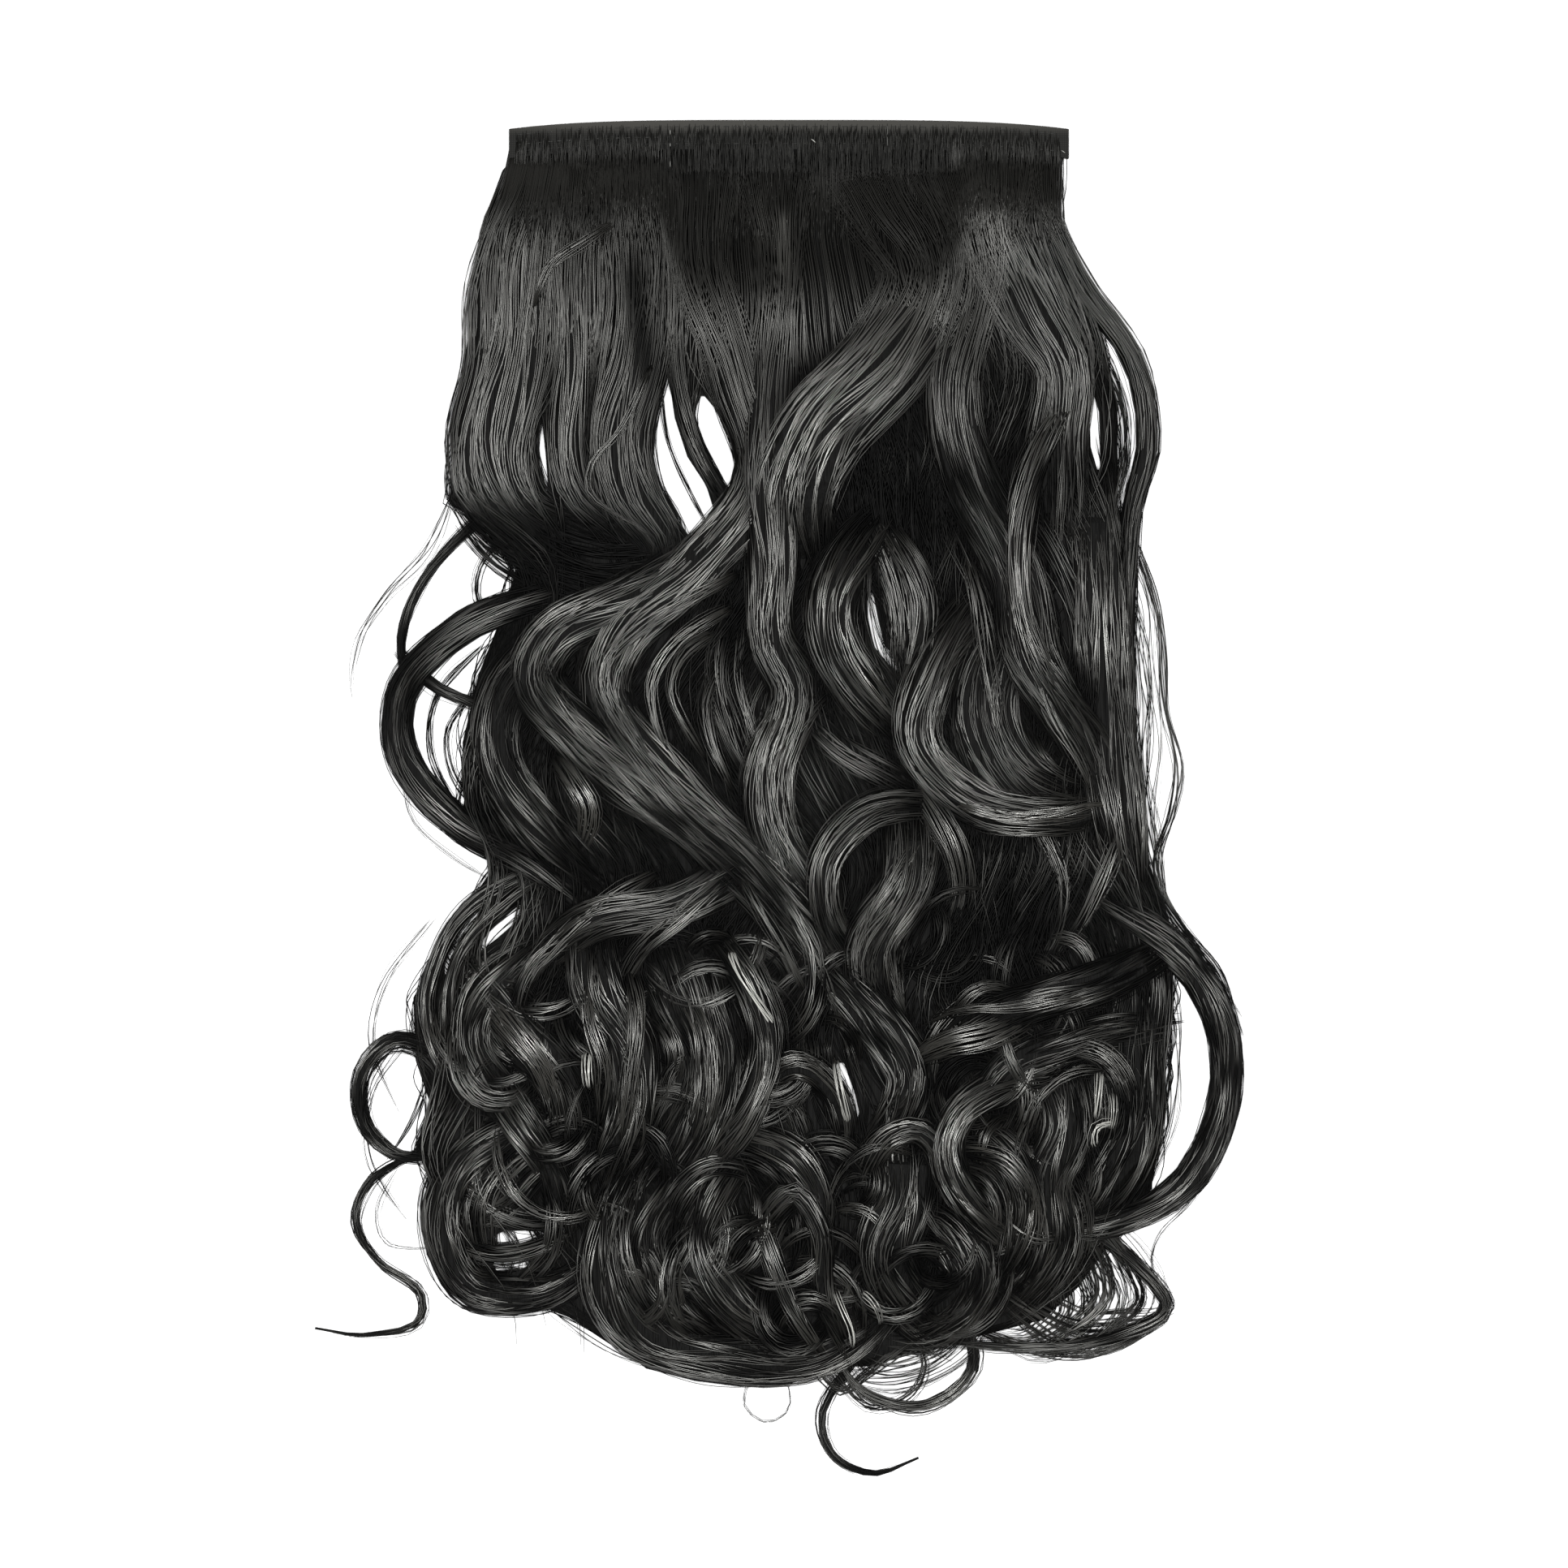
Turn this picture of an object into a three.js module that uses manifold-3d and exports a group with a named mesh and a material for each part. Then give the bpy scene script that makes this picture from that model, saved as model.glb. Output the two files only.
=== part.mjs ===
// Clip-in hair extension: a curtain of wavy false hair sewn into a folded weft band with snap clips.
// Millimetres, +Z up. It lies on a flat surface: +X runs along the weft, and the hair falls away towards -Y.
// The origin is on the foot of the middle clip, under the middle of the weft.
import * as THREE from "three";
import { mergeVertices } from "three/addons/utils/BufferGeometryUtils.js";
import Module from "manifold-3d";

const wasm = await Module();
wasm.setup();

// Driving dimensions
const WEFT_WIDTH = 250;
const BAND = { top: 8, bottom: -5, wall: 1.2, slot: 2.6, endDrop: 4, steps: 24 };
const CLIP = { count: 5, pitch: 52, length: 34, width: 10, rim: 2.1, tongue: 2.6, plate: 1.2, foot: 1.0 };
const GAP = 0.3;
const HAIR_COLOUR = 0x141413;
const TAPE_COLOUR = 0x1d1d1b;
const CLIP_COLOUR = 0x101011;

// Heights of the stack under the weft, from the surface it lies on
const CLIP_TOP = CLIP.foot + CLIP.plate;
const BAND_FOOT = CLIP_TOP + GAP;
const SLOT_FOOT = BAND_FOOT + BAND.wall;
const BAND_TOP = SLOT_FOOT + BAND.slot + BAND.wall;
const ROOT_LOW = SLOT_FOOT + GAP;
const ROOT_HIGH = SLOT_FOOT + BAND.slot - GAP;

// The pressed curtain of hair from the weft down to where it parts into locks, one row for each section
const CURTAIN_ACROSS = 14;
const FLOOR_DIP = -0.4;
const CURTAIN = [
  { down: -4, left: -122, right: 122, low: ROOT_LOW, high: ROOT_HIGH },
  { down: 6, left: -124, right: 122.5, low: ROOT_LOW, high: ROOT_HIGH },
  { down: 10, left: -128, right: 122, low: 3.2, high: 6.2 },
  { down: 22, left: -132, right: 120.5, low: 1.0, high: 6.6 },
  { down: 42, left: -138, right: 121, low: FLOOR_DIP, high: 8.2 },
  { down: 62, left: -141, right: 130, low: FLOOR_DIP, high: 10 },
  { down: 84, left: -142, right: 138, low: FLOOR_DIP, high: 9 },
];

// The backing of hair that lies on the surface under the locks, one row for each section down its length
const BACKING_RIM = { wide: 14, high: 2.5 };
const BACKING = [
  { down: 70, left: -139, right: 132, high: 9 },
  { down: 90, left: -142, right: 141, high: 8 },
  { down: 119, left: -145, right: 147, high: 8 },
  { down: 148, left: -151, right: 147, high: 8 },
  { down: 163, left: -152, right: 147, high: 7 },
  { down: 173, left: -134, right: 150, high: 7 },
  { down: 192, left: -122, right: 149, high: 8 },
  { down: 212, left: -128, right: 150, high: 8 },
  { down: 240, left: -139, right: 151, high: 8 },
  { down: 270, left: -146, right: 153, high: 8 },
  { down: 300, left: -145, right: 156, high: 8 },
  { down: 324, left: -131, right: 161, high: 8 },
  { down: 352, left: -150, right: 171, high: 8 },
  { down: 384, left: -168, right: 172, high: 8 },
  { down: 412, left: -167, right: 169, high: 8 },
  { down: 430, left: -161, right: 168, high: 8 },
  { down: 452, left: -167, right: 165, high: 8 },
  { down: 470, left: -158, right: 162, high: 8 },
  { down: 495, left: -148, right: 143, high: 7 },
  { down: 514, left: -132, right: 129, high: 7 },
  { down: 528, left: -96, right: 114, high: 6 },
  { down: 539, left: -80, right: 72, high: 6 },
  { down: 549, left: -52, right: 36, high: 5 },
];

// Openings between locks where the surface shows through: middle, distance down and width at each row
const OPENINGS = [
  { name: "left_of_divider",
    rows: [[-54, 107, 0.8], [-55, 125, 8], [-53, 142, 15], [-47.5, 155, 21], [-42, 168, 18],
      [-42.5, 178, 4]] },
  { name: "right_of_divider",
    rows: [[-38.5, 115, 1.5], [-37.5, 120, 8], [-35.5, 130, 14], [-32, 140, 15], [-28.5, 150, 10],
      [-25.5, 158, 3]] },
  { name: "panel_slit",
    rows: [[-111, 126, 1.5], [-111, 140, 4.5], [-110.5, 152, 5.5], [-109.5, 163, 2.5]] },
  { name: "oval_slit",
    rows: [[36, 200, 2], [37.5, 214, 4.5], [40.5, 227, 5], [48, 235, 7], [53, 241, 2]] },
  { name: "low_slit",
    rows: [[23, 413, 3], [25, 424, 7], [28, 434, 8], [29, 440, 2]] },
  { name: "curl_slit_upper",
    rows: [[-119, 488, 16], [-120, 491, 25], [-124, 494, 12]] },
  { name: "curl_slit_lower",
    rows: [[-122, 500, 14], [-123, 503, 19], [-127, 507, 7]] },
  { name: "right_slit",
    rows: [[135, 112, 1.5], [136.5, 122, 4.5], [137, 138, 4.5], [138.5, 148, 1.5]] },
  { name: "swell_slit_inner",
    rows: [[-119, 342, 2], [-124.5, 349, 7], [-132, 356, 7], [-138.5, 363, 2]] },
  { name: "swell_slit_outer",
    rows: [[-134, 338, 2], [-141, 346, 6], [-147.5, 355, 6], [-151.5, 366, 5], [-153, 374, 2]] },
];

// Locks: full width and thickness, and the route as [across, down, up] at each bend
const LOCKS = [
  // Upper locks on the left: the straight panel that turns under, and the band that sweeps back over it
  { name: "panel_outer", wide: 39, thick: 9,
    route: [[-120, 50, 8], [-124, 95, 10], [-132, 142, 9.5], [-121, 168, 7], [-86, 184, 6]] },
  { name: "panel_inner", wide: 17, thick: 9,
    route: [[-97, 50, 8], [-96, 95, 10.5], [-99, 140, 10], [-91, 164, 8.5], [-66, 180, 7]] },
  { name: "panel_mid", wide: 30, thick: 9,
    route: [[-66, 60, 8], [-69, 100, 10.5], [-76, 136, 10], [-71, 162, 9], [-57, 184, 9], [-62, 202, 8]] },
  { name: "divider", wide: 7, thick: 6,
    route: [[-50, 92, 10], [-47, 118, 11], [-40, 140, 10], [-22, 168, 9]] },
  { name: "centre_left", wide: 24, thick: 9,
    route: [[-38, 60, 9], [-22, 108, 12], [-12, 150, 12], [-40, 192, 13], [-74, 222, 14],
      [-82, 248, 13], [-56, 286, 13], [-12, 328, 12], [20, 368, 11], [42, 402, 8]] },
  { name: "left_band", wide: 24, thick: 9,
    route: [[-36, 186, 9], [-70, 206, 14], [-104, 222, 15], [-113, 242, 13], [-92, 268, 14],
      [-52, 300, 13], [-12, 338, 11], [14, 376, 9]] },
  // Upper locks in the middle and on the right
  { name: "centre_front", wide: 22, thick: 9,
    route: [[-4, 50, 8], [-8, 110, 13], [-10, 150, 15], [-7, 190, 15], [-8, 224, 15], [2, 248, 12],
      [-8, 285, 13], [-2, 326, 12], [24, 372, 8]] },
  { name: "centre_sweep", wide: 40, thick: 9,
    route: [[62, 60, 10], [45, 98, 15.5], [14, 130, 17.5], [3, 162, 15.5], [8, 194, 9]] },
  { name: "right_sweep", wide: 28, thick: 9,
    route: [[91, 40, 8], [108, 78, 12], [122, 104, 12.5], [118, 142, 11], [120, 188, 8]] },
  { name: "right_edge", wide: 9, thick: 7,
    route: [[116, 34, 8], [131, 66, 10], [154, 100, 9], [160, 136, 8], [153, 168, 7], [150, 230, 7],
      [154, 300, 7], [161, 345, 7]] },
  { name: "right_inner", wide: 26, thick: 9,
    route: [[84, 60, 9], [72, 110, 13], [82, 155, 11], [101, 195, 14], [108, 232, 14], [130, 268, 12],
      [146, 302, 8]] },
  { name: "right_wisp", wide: 12, thick: 8,
    route: [[124, 118, 13], [108, 150, 15], [102, 190, 17], [112, 236, 16], [138, 276, 10]] },
  { name: "right_body", wide: 26, thick: 9,
    route: [[134, 150, 6], [138, 200, 9], [140, 250, 9], [146, 300, 9], [152, 340, 7]] },
  // Ovals, bowl and folds of the middle
  { name: "oval_left", wide: 22, thick: 8,
    route: [[38, 172, 10], [19, 206, 16], [22, 232, 15], [48, 265, 10]] },
  { name: "oval_right", wide: 13, thick: 8,
    route: [[44, 174, 9], [60, 206, 13], [54, 246, 9]] },
  { name: "bowl", wide: 20, thick: 8,
    route: [[88, 200, 9], [63, 240, 14], [57, 270, 15], [84, 297, 14], [124, 303, 13], [154, 297, 9]] },
  { name: "bowl_fill", wide: 36, thick: 9,
    route: [[104, 210, 9], [88, 255, 11], [102, 286, 11], [128, 298, 8]] },
  { name: "centre_leaf", wide: 22, thick: 9,
    route: [[10, 246, 10], [-8, 276, 14], [-8, 306, 13], [14, 346, 10], [34, 386, 7]] },
  { name: "oval_low", wide: 16, thick: 8,
    route: [[68, 298, 10], [37, 301, 14], [17, 322, 15], [18, 350, 13], [36, 376, 8]] },
  { name: "low_fold", wide: 26, thick: 9,
    route: [[54, 300, 9], [52, 332, 14], [36, 364, 12], [46, 400, 8]] },
  // Folds of the lower half: waves, arches and brackets that lie across each other
  { name: "left_low", wide: 26, thick: 9,
    route: [[-88, 348, 9], [-85, 380, 14], [-71, 408, 14], [-73, 438, 12], [-86, 470, 8]] },
  { name: "left_low_outer", wide: 22, thick: 9,
    route: [[-142, 370, 8], [-120, 400, 13], [-101, 424, 11], [-98, 456, 8]] },
  { name: "left_low_turn", wide: 18, thick: 9,
    route: [[-132, 416, 8], [-119, 440, 12], [-104, 464, 10], [-98, 490, 8]] },
  { name: "mid_low", wide: 16, thick: 9,
    route: [[-34, 354, 9], [-18, 378, 15], [-10, 404, 16], [-19, 436, 14], [-42, 466, 8]] },
  { name: "mid_low_fill", wide: 36, thick: 9,
    route: [[-56, 350, 8], [-44, 384, 12], [-36, 412, 12], [-44, 444, 11], [-62, 474, 8]] },
  { name: "low_middle", wide: 22, thick: 9,
    route: [[14, 366, 8], [38, 392, 12], [54, 420, 11], [40, 452, 8]] },
  { name: "low_cross", wide: 18, thick: 9,
    route: [[168, 362, 10], [144, 375, 15], [112, 384, 16], [84, 396, 15], [58, 416, 8]] },
  { name: "low_cross_under", wide: 20, thick: 9,
    route: [[162, 396, 8], [126, 404, 12], [98, 416, 12], [84, 438, 8]] },
  { name: "right_low_outer", wide: 30, thick: 9,
    route: [[146, 336, 8], [155, 372, 8], [152, 410, 9], [152, 446, 10], [130, 482, 8]] },
  { name: "right_low_fall", wide: 24, thick: 9,
    route: [[118, 410, 9], [124, 440, 13], [116, 466, 12], [119, 492, 9], [104, 518, 6]] },
  { name: "bracket", wide: 15, thick: 9,
    route: [[102, 418, 9], [79, 432, 15], [71, 451, 16], [80, 475, 14], [106, 500, 8]] },
  { name: "bracket_right", wide: 20, thick: 9,
    route: [[82, 444, 9], [100, 460, 14], [106, 481, 12], [94, 508, 8]] },
  { name: "arch", wide: 12, thick: 9,
    route: [[32, 466, 8], [43, 447, 14], [58, 443, 15], [69, 457, 12], [66, 488, 8]] },
  { name: "arch_fall", wide: 28, thick: 9,
    route: [[52, 446, 8], [50, 474, 11], [44, 500, 12], [60, 528, 6]] },
  { name: "mid_arch", wide: 13, thick: 9,
    route: [[-16, 426, 8], [4, 414, 14], [20, 426, 12], [26, 452, 8]] },
  { name: "mid_bend", wide: 14, thick: 9,
    route: [[-26, 444, 8], [2, 454, 13], [14, 474, 12], [10, 500, 8]] },
  // Loops and swells of the left edge
  { name: "left_body", wide: 24, thick: 9,
    route: [[-100, 222, 7], [-126, 248, 11], [-130, 276, 11], [-112, 308, 11], [-82, 336, 8]] },
  { name: "left_sheen", wide: 20, thick: 9,
    route: [[-12, 320, 8], [-48, 342, 15], [-88, 350, 14], [-114, 370, 9]] },
  { name: "left_loop", wide: 14, thick: 10,
    route: [[-106, 204, 11], [-146, 219, 11], [-172, 245, 8], [-173, 275, 6], [-149, 305, 7],
      [-112, 327, 9], [-86, 348, 8]] },
  { name: "left_loop_thin", wide: 4, thick: 4,
    route: [[-130, 162, 7], [-162, 195, 6], [-173, 222, 6], [-171, 250, 7]] },
  { name: "left_loop_tie", wide: 5, thick: 5,
    route: [[-172, 232, 7], [-156, 246, 7], [-130, 256, 7]] },
  { name: "left_swell", wide: 7, thick: 8,
    route: [[-114, 327, 8], [-131, 334.5, 9], [-145, 346, 9], [-156, 364, 9], [-162, 388, 8],
      [-151, 420, 8], [-118, 444, 8]] },
  { name: "left_swell_middle", wide: 7, thick: 8,
    route: [[-108, 329, 8], [-123.5, 339.5, 9], [-142, 357, 9], [-150, 374, 9], [-152, 400, 8]] },
  { name: "left_swell_inner", wide: 20, thick: 9,
    route: [[-112, 362, 8], [-136, 382, 11], [-141, 404, 10], [-127, 428, 9], [-102, 442, 8]] },
  { name: "ring", wide: 5, thick: 4.5,
    route: [[-146, 424, 7], [-160, 407, 6], [-177, 403, 5], [-191, 418, 4], [-190, 440, 3],
      [-176, 454, 3], [-150, 454, 5]] },
  { name: "tail", wide: 3, thick: 3,
    route: [[-164, 452, 3], [-187, 466, 2], [-194, 484, 2], [-184, 502, 2], [-165, 516, 2],
      [-166, 529, 2], [-190, 535, 2], [-212, 532, 2]] },
  { name: "left_curl", wide: 20, thick: 12,
    route: [[-116, 440, 8], [-147, 459, 8], [-154, 488, 7], [-141, 513, 6], [-112, 516, 6],
      [-88, 502, 7]] },
  // Curled ends along the bottom
  { name: "bottom_left", wide: 24, thick: 10,
    route: [[-68, 455, 9], [-80, 502, 11], [-68, 533, 9], [-28, 545, 6], [12, 544, 6], [36, 530, 7]] },
  { name: "bottom_mid", wide: 26, thick: 9,
    route: [[-50, 460, 9], [-66, 492, 13], [-56, 520, 10], [-30, 537, 6]] },
  { name: "bottom_mid_right", wide: 24, thick: 9,
    route: [[-28, 460, 9], [-40, 494, 13], [-24, 522, 10], [2, 538, 6]] },
  { name: "bottom_ring", wide: 10, thick: 8,
    route: [[-12, 486, 11], [2, 470, 15], [14, 487, 15], [16, 518, 12], [28, 546, 6]] },
  { name: "bottom_ring_left", wide: 8, thick: 8,
    route: [[-16, 476, 9], [-6, 504, 14], [3, 526, 12], [18, 548, 6]] },
  { name: "bottom_right", wide: 26, thick: 9,
    route: [[68, 484, 9], [82, 504, 12], [76, 520, 9], [58, 532, 5]] },
  { name: "right_loop", wide: 14, thick: 11,
    route: [[138, 340, 9], [176, 367, 10], [194, 400, 8], [193, 436, 7], [178, 467, 7], [146, 484, 8],
      [120, 488, 8]] },
  { name: "corner", wide: 6, thick: 6,
    route: [[126, 482, 8], [156, 504, 5], [169, 523, 3], [148, 535, 3], [116, 540, 4], [70, 538, 4]] },
  { name: "bottom_wisp", wide: 4, thick: 4,
    route: [[78, 524, 5], [82, 550, 3], [58, 567, 2.3], [34, 561, 2.3], [22, 546, 4]] },
  { name: "end_curl", wide: 3, thick: 3,
    route: [[30, 544, 4], [15, 571, 2], [20, 589, 2], [38, 597, 2], [58, 590, 2]] },
];

// How finely a lock is cut, how it swells from its root and thins to its tip, and how both ends dive
const WIDE_LOCK = 20;
const ARC_POINTS = { wide: 5, slim: 4 };
const THIN_LOCK = 5;
const STEPS_PER_BEND = { thin: 3.2, usual: 2.25 };
const TAPER = { root: 0.75, rootShare: 0.15, tip: 0.3, tipShare: 0.35 };
const DIVE = { up: 2, share: 0.12 };

const smooth = (x) => THREE.MathUtils.smoothstep(x, 0, 1);

// The weft sags a little at its two ends, as a band laid by hand does.
const endDrop = (x) => -BAND.endDrop * Math.pow(Math.abs(x) / (WEFT_WIDTH / 2), 4);

// Closed skin through rings of points, with the two end rings filled by the triangles in caps.
function loft(rings, caps) {
  const n = rings[0].length;
  const last = (rings.length - 1) * n;
  const faces = [];
  for (let r = 0; r + 1 < rings.length; r++) {
    for (let i = 0; i < n; i++) {
      const [a, b] = [r * n + i, r * n + ((i + 1) % n)];
      faces.push([a, b, b + n], [a, b + n, a + n]);
    }
  }
  for (const [a, b, c] of caps) faces.push([c, b, a], [last + a, last + b, last + c]);
  const points = rings.flat();
  const corner = (f) => f.map((i) => points[i]);
  const volume = faces.reduce((sum, f) => {
    const [a, b, c] = corner(f);
    return sum + a.dot(b.clone().cross(c));
  }, 0);
  const outward = volume < 0 ? faces.map(([a, b, c]) => [a, c, b]) : faces;
  return new THREE.BufferGeometry().setFromPoints(points).setIndex(outward.flat());
}

const fan = (n) => Array.from({ length: n - 2 }, (_, i) => [0, i + 1, i + 2]);

function toSolid(geometry) {
  const bare = new THREE.BufferGeometry()
    .setAttribute("position", geometry.getAttribute("position").clone())
    .setIndex(geometry.index);
  const merged = mergeVertices(bare, 1e-4);
  return new wasm.Manifold(new wasm.Mesh({
    numProp: 3,
    vertProperties: new Float32Array(merged.getAttribute("position").array),
    triVerts: new Uint32Array(merged.index.array),
  }));
}

function toGeometry(solid) {
  const mesh = solid.getMesh();
  return new THREE.BufferGeometry()
    .setAttribute("position", new THREE.BufferAttribute(mesh.vertProperties, 3))
    .setIndex(new THREE.BufferAttribute(mesh.triVerts, 1));
}

// A lock is a rounded ridge swept down its route: an oval top with straight sides that stand on the surface.
function lockGeometry({ wide, thick, route }) {
  const bends = route.map(([across, down, up]) => new THREE.Vector3(across, -down, up));
  const curve = new THREE.CatmullRomCurve3(bends);
  const stepsPerBend = wide > THIN_LOCK ? STEPS_PER_BEND.usual : STEPS_PER_BEND.thin;
  const steps = Math.round((route.length - 1) * stepsPerBend);
  const arc = wide > WIDE_LOCK ? ARC_POINTS.wide : ARC_POINTS.slim;
  const rings = [];
  for (let k = 0; k <= steps; k++) {
    const t = k / steps;
    const swell = TAPER.root + (1 - TAPER.root) * smooth(t / TAPER.rootShare);
    const thin = 1 - (1 - TAPER.tip) * smooth((t - 1 + TAPER.tipShare) / TAPER.tipShare);
    const centre = curve.getPoint(t);
    const surfaced = smooth(t / DIVE.share) * smooth((1 - t) / DIVE.share);
    centre.setZ(THREE.MathUtils.lerp(DIVE.up, centre.z, surfaced));
    const along = curve.getTangent(t);
    const side = new THREE.Vector3(along.y, -along.x, 0).normalize();
    const at = (out, up) => centre.clone().addScaledVector(side, out * swell * thin * wide / 2).setZ(up);
    const top = Array.from({ length: arc }, (_, i) => {
      const angle = (i / (arc - 1)) * Math.PI;
      return at(Math.cos(angle), centre.z + Math.sin(angle) * thin * thick / 2);
    });
    rings.push([at(-1, FLOOR_DIP), at(1, FLOOR_DIP), ...top]);
  }
  return loft(rings, fan(arc + 2));
}

// The curtain is a wide flat section that follows the weft's sag at its roots.
function curtainGeometry() {
  const sag = { from: 10, until: 42 };
  const rings = CURTAIN.map(({ down, left, right, low, high }) => {
    const row = (from, to, up) => Array.from({ length: CURTAIN_ACROSS + 1 }, (_, i) => {
      const x = THREE.MathUtils.lerp(from, to, i / CURTAIN_ACROSS);
      const fade = 1 - smooth((down - sag.from) / (sag.until - sag.from));
      return new THREE.Vector3(x, -down + endDrop(x) * fade, up);
    });
    return [...row(left, right, low), ...row(right, left, high)];
  });
  const across = CURTAIN_ACROSS + 1;
  const caps = [];
  for (let i = 0; i < CURTAIN_ACROSS; i++) {
    const [a, b] = [2 * across - 1 - i, 2 * across - 2 - i];
    caps.push([i, i + 1, b], [i, b, a]);
  }
  return loft(rings, caps);
}

// The backing is a low crowned section from edge to edge.
function backingGeometry() {
  const rings = BACKING.map(({ down, left, right, high }) => [
    [left, FLOOR_DIP], [right, FLOOR_DIP], [right, BACKING_RIM.high],
    [right - BACKING_RIM.wide, high], [left + BACKING_RIM.wide, high], [left, BACKING_RIM.high],
  ].map(([x, z]) => new THREE.Vector3(x, -down, z)));
  return loft(rings, fan(6));
}

// A straight-sided slug with the outline of an opening, tall enough to pass through the backing.
function openingGeometry({ rows }) {
  const edge = (half) => rows.map(([across, down, wide]) => new THREE.Vector2(across + half * wide, -down));
  const shape = new THREE.Shape([...edge(-0.5), ...edge(0.5).reverse()]);
  const tall = 40;
  return new THREE.ExtrudeGeometry(shape, { depth: tall, bevelEnabled: false }).translate(0, 0, -tall / 2);
}

// All the locks fused to the curtain and the backing, with what would reach below the surface cut off flat.
function hairGeometry() {
  const [wide, long, deep] = [900, 1500, 60];
  const floor = new THREE.BoxGeometry(wide, long, deep).translate(0, 0, -deep / 2);
  const backing = OPENINGS.map(openingGeometry).map(toSolid)
    .reduce((all, slug) => all.subtract(slug), toSolid(backingGeometry()));
  const locks = [curtainGeometry(), ...LOCKS.map(lockGeometry)].map(toSolid);
  return toGeometry(locks.reduce((all, lock) => all.add(lock), backing).subtract(toSolid(floor)));
}

// The band is a tape folded over the roots: a C section, open towards the hair, swept along the weft.
function bandGeometry() {
  const { top, bottom, wall, steps } = BAND;
  const section = [
    [bottom, BAND_FOOT], [top, BAND_FOOT], [top, BAND_TOP], [bottom, BAND_TOP],
    [bottom, BAND_TOP - wall], [top - wall, BAND_TOP - wall], [top - wall, SLOT_FOOT], [bottom, SLOT_FOOT],
  ];
  const rings = Array.from({ length: steps + 1 }, (_, k) => {
    const x = (k / steps - 0.5) * WEFT_WIDTH;
    return section.map(([y, z]) => new THREE.Vector3(x, y + endDrop(x), z));
  });
  const outline = section.map(([y, z]) => new THREE.Vector2(y, z));
  return loft(rings, THREE.ShapeUtils.triangulateShape(outline, []));
}

// A stadium: a bar with round ends.
function stadium(length, width) {
  const [straight, r] = [(length - width) / 2, width / 2];
  return new THREE.Shape()
    .absarc(straight, 0, r, -Math.PI / 2, Math.PI / 2, false)
    .absarc(-straight, 0, r, Math.PI / 2, (3 * Math.PI) / 2, false);
}

// A closed snap clip: a base plate, with the bowed rim and the tongue that snaps through it standing below.
function clipGeometry() {
  const { length, width, rim, tongue, plate, foot } = CLIP;
  const curveSegments = 4;
  const slab = (shape, depth, from) => toSolid(
    new THREE.ExtrudeGeometry(shape, { depth, bevelEnabled: false, curveSegments }).translate(0, 0, from));
  const lap = 0.2;
  const rimShape = stadium(length, width);
  rimShape.holes.push(stadium(length - 2 * rim, width - 2 * rim));
  const parts = [
    slab(stadium(length, width), plate, foot),
    slab(rimShape, foot + lap, 0),
    slab(stadium(length - 4 * rim, tongue), foot + lap, 0),
  ];
  return toGeometry(parts.reduce((all, part) => all.add(part)));
}

function addMesh(group, name, geometry, colour, roughness, metalness) {
  const material = new THREE.MeshStandardMaterial({ color: colour, roughness, metalness });
  const mesh = new THREE.Mesh(geometry, material);
  mesh.name = name;
  group.add(mesh);
  return mesh;
}

const extension = new THREE.Group();
addMesh(extension, "hair", hairGeometry(), HAIR_COLOUR, 0.35, 0);
addMesh(extension, "weft_band", bandGeometry(), TAPE_COLOUR, 0.7, 0);
for (let i = 0; i < CLIP.count; i++) {
  const x = (i - (CLIP.count - 1) / 2) * CLIP.pitch;
  addMesh(extension, `clip_${i + 1}`, clipGeometry(), CLIP_COLOUR, 0.4, 0.6).position.set(x, endDrop(x), 0);
}

export default extension;
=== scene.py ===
"""Looks of a clip-in hair extension laid flat: strands, weft band, clips and the surface under them."""

import math
from collections import namedtuple

import bpy
import numpy as np
from bpy.props import FloatProperty, FloatVectorProperty, IntProperty, PointerProperty
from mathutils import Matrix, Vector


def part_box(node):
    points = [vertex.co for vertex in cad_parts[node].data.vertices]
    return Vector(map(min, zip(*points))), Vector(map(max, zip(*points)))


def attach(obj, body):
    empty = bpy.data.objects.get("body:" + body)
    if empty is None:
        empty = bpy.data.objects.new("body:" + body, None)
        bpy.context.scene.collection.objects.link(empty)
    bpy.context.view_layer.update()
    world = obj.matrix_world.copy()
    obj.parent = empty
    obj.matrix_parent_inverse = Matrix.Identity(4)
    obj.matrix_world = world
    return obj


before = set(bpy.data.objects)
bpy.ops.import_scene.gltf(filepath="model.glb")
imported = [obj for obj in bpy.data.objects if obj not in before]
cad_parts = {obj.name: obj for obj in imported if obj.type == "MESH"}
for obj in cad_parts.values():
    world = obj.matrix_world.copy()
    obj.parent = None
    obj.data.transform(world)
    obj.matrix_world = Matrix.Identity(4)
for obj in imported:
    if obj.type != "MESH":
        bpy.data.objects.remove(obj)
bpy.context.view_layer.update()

bl_info = {
    "name": "Clip-in hair extension",
    "version": (1, 0, 0),
    "blender": (4, 5, 0),
    "location": "View3D > Sidebar > Hair extension",
    "description": "Lays the strands, weft band and clips of a hair extension, and the stage it is seen on",
    "category": "Object",
}

MM = 0.001

# How much lighter a fleck is that catches the light in full
GLINT = 1.45
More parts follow.
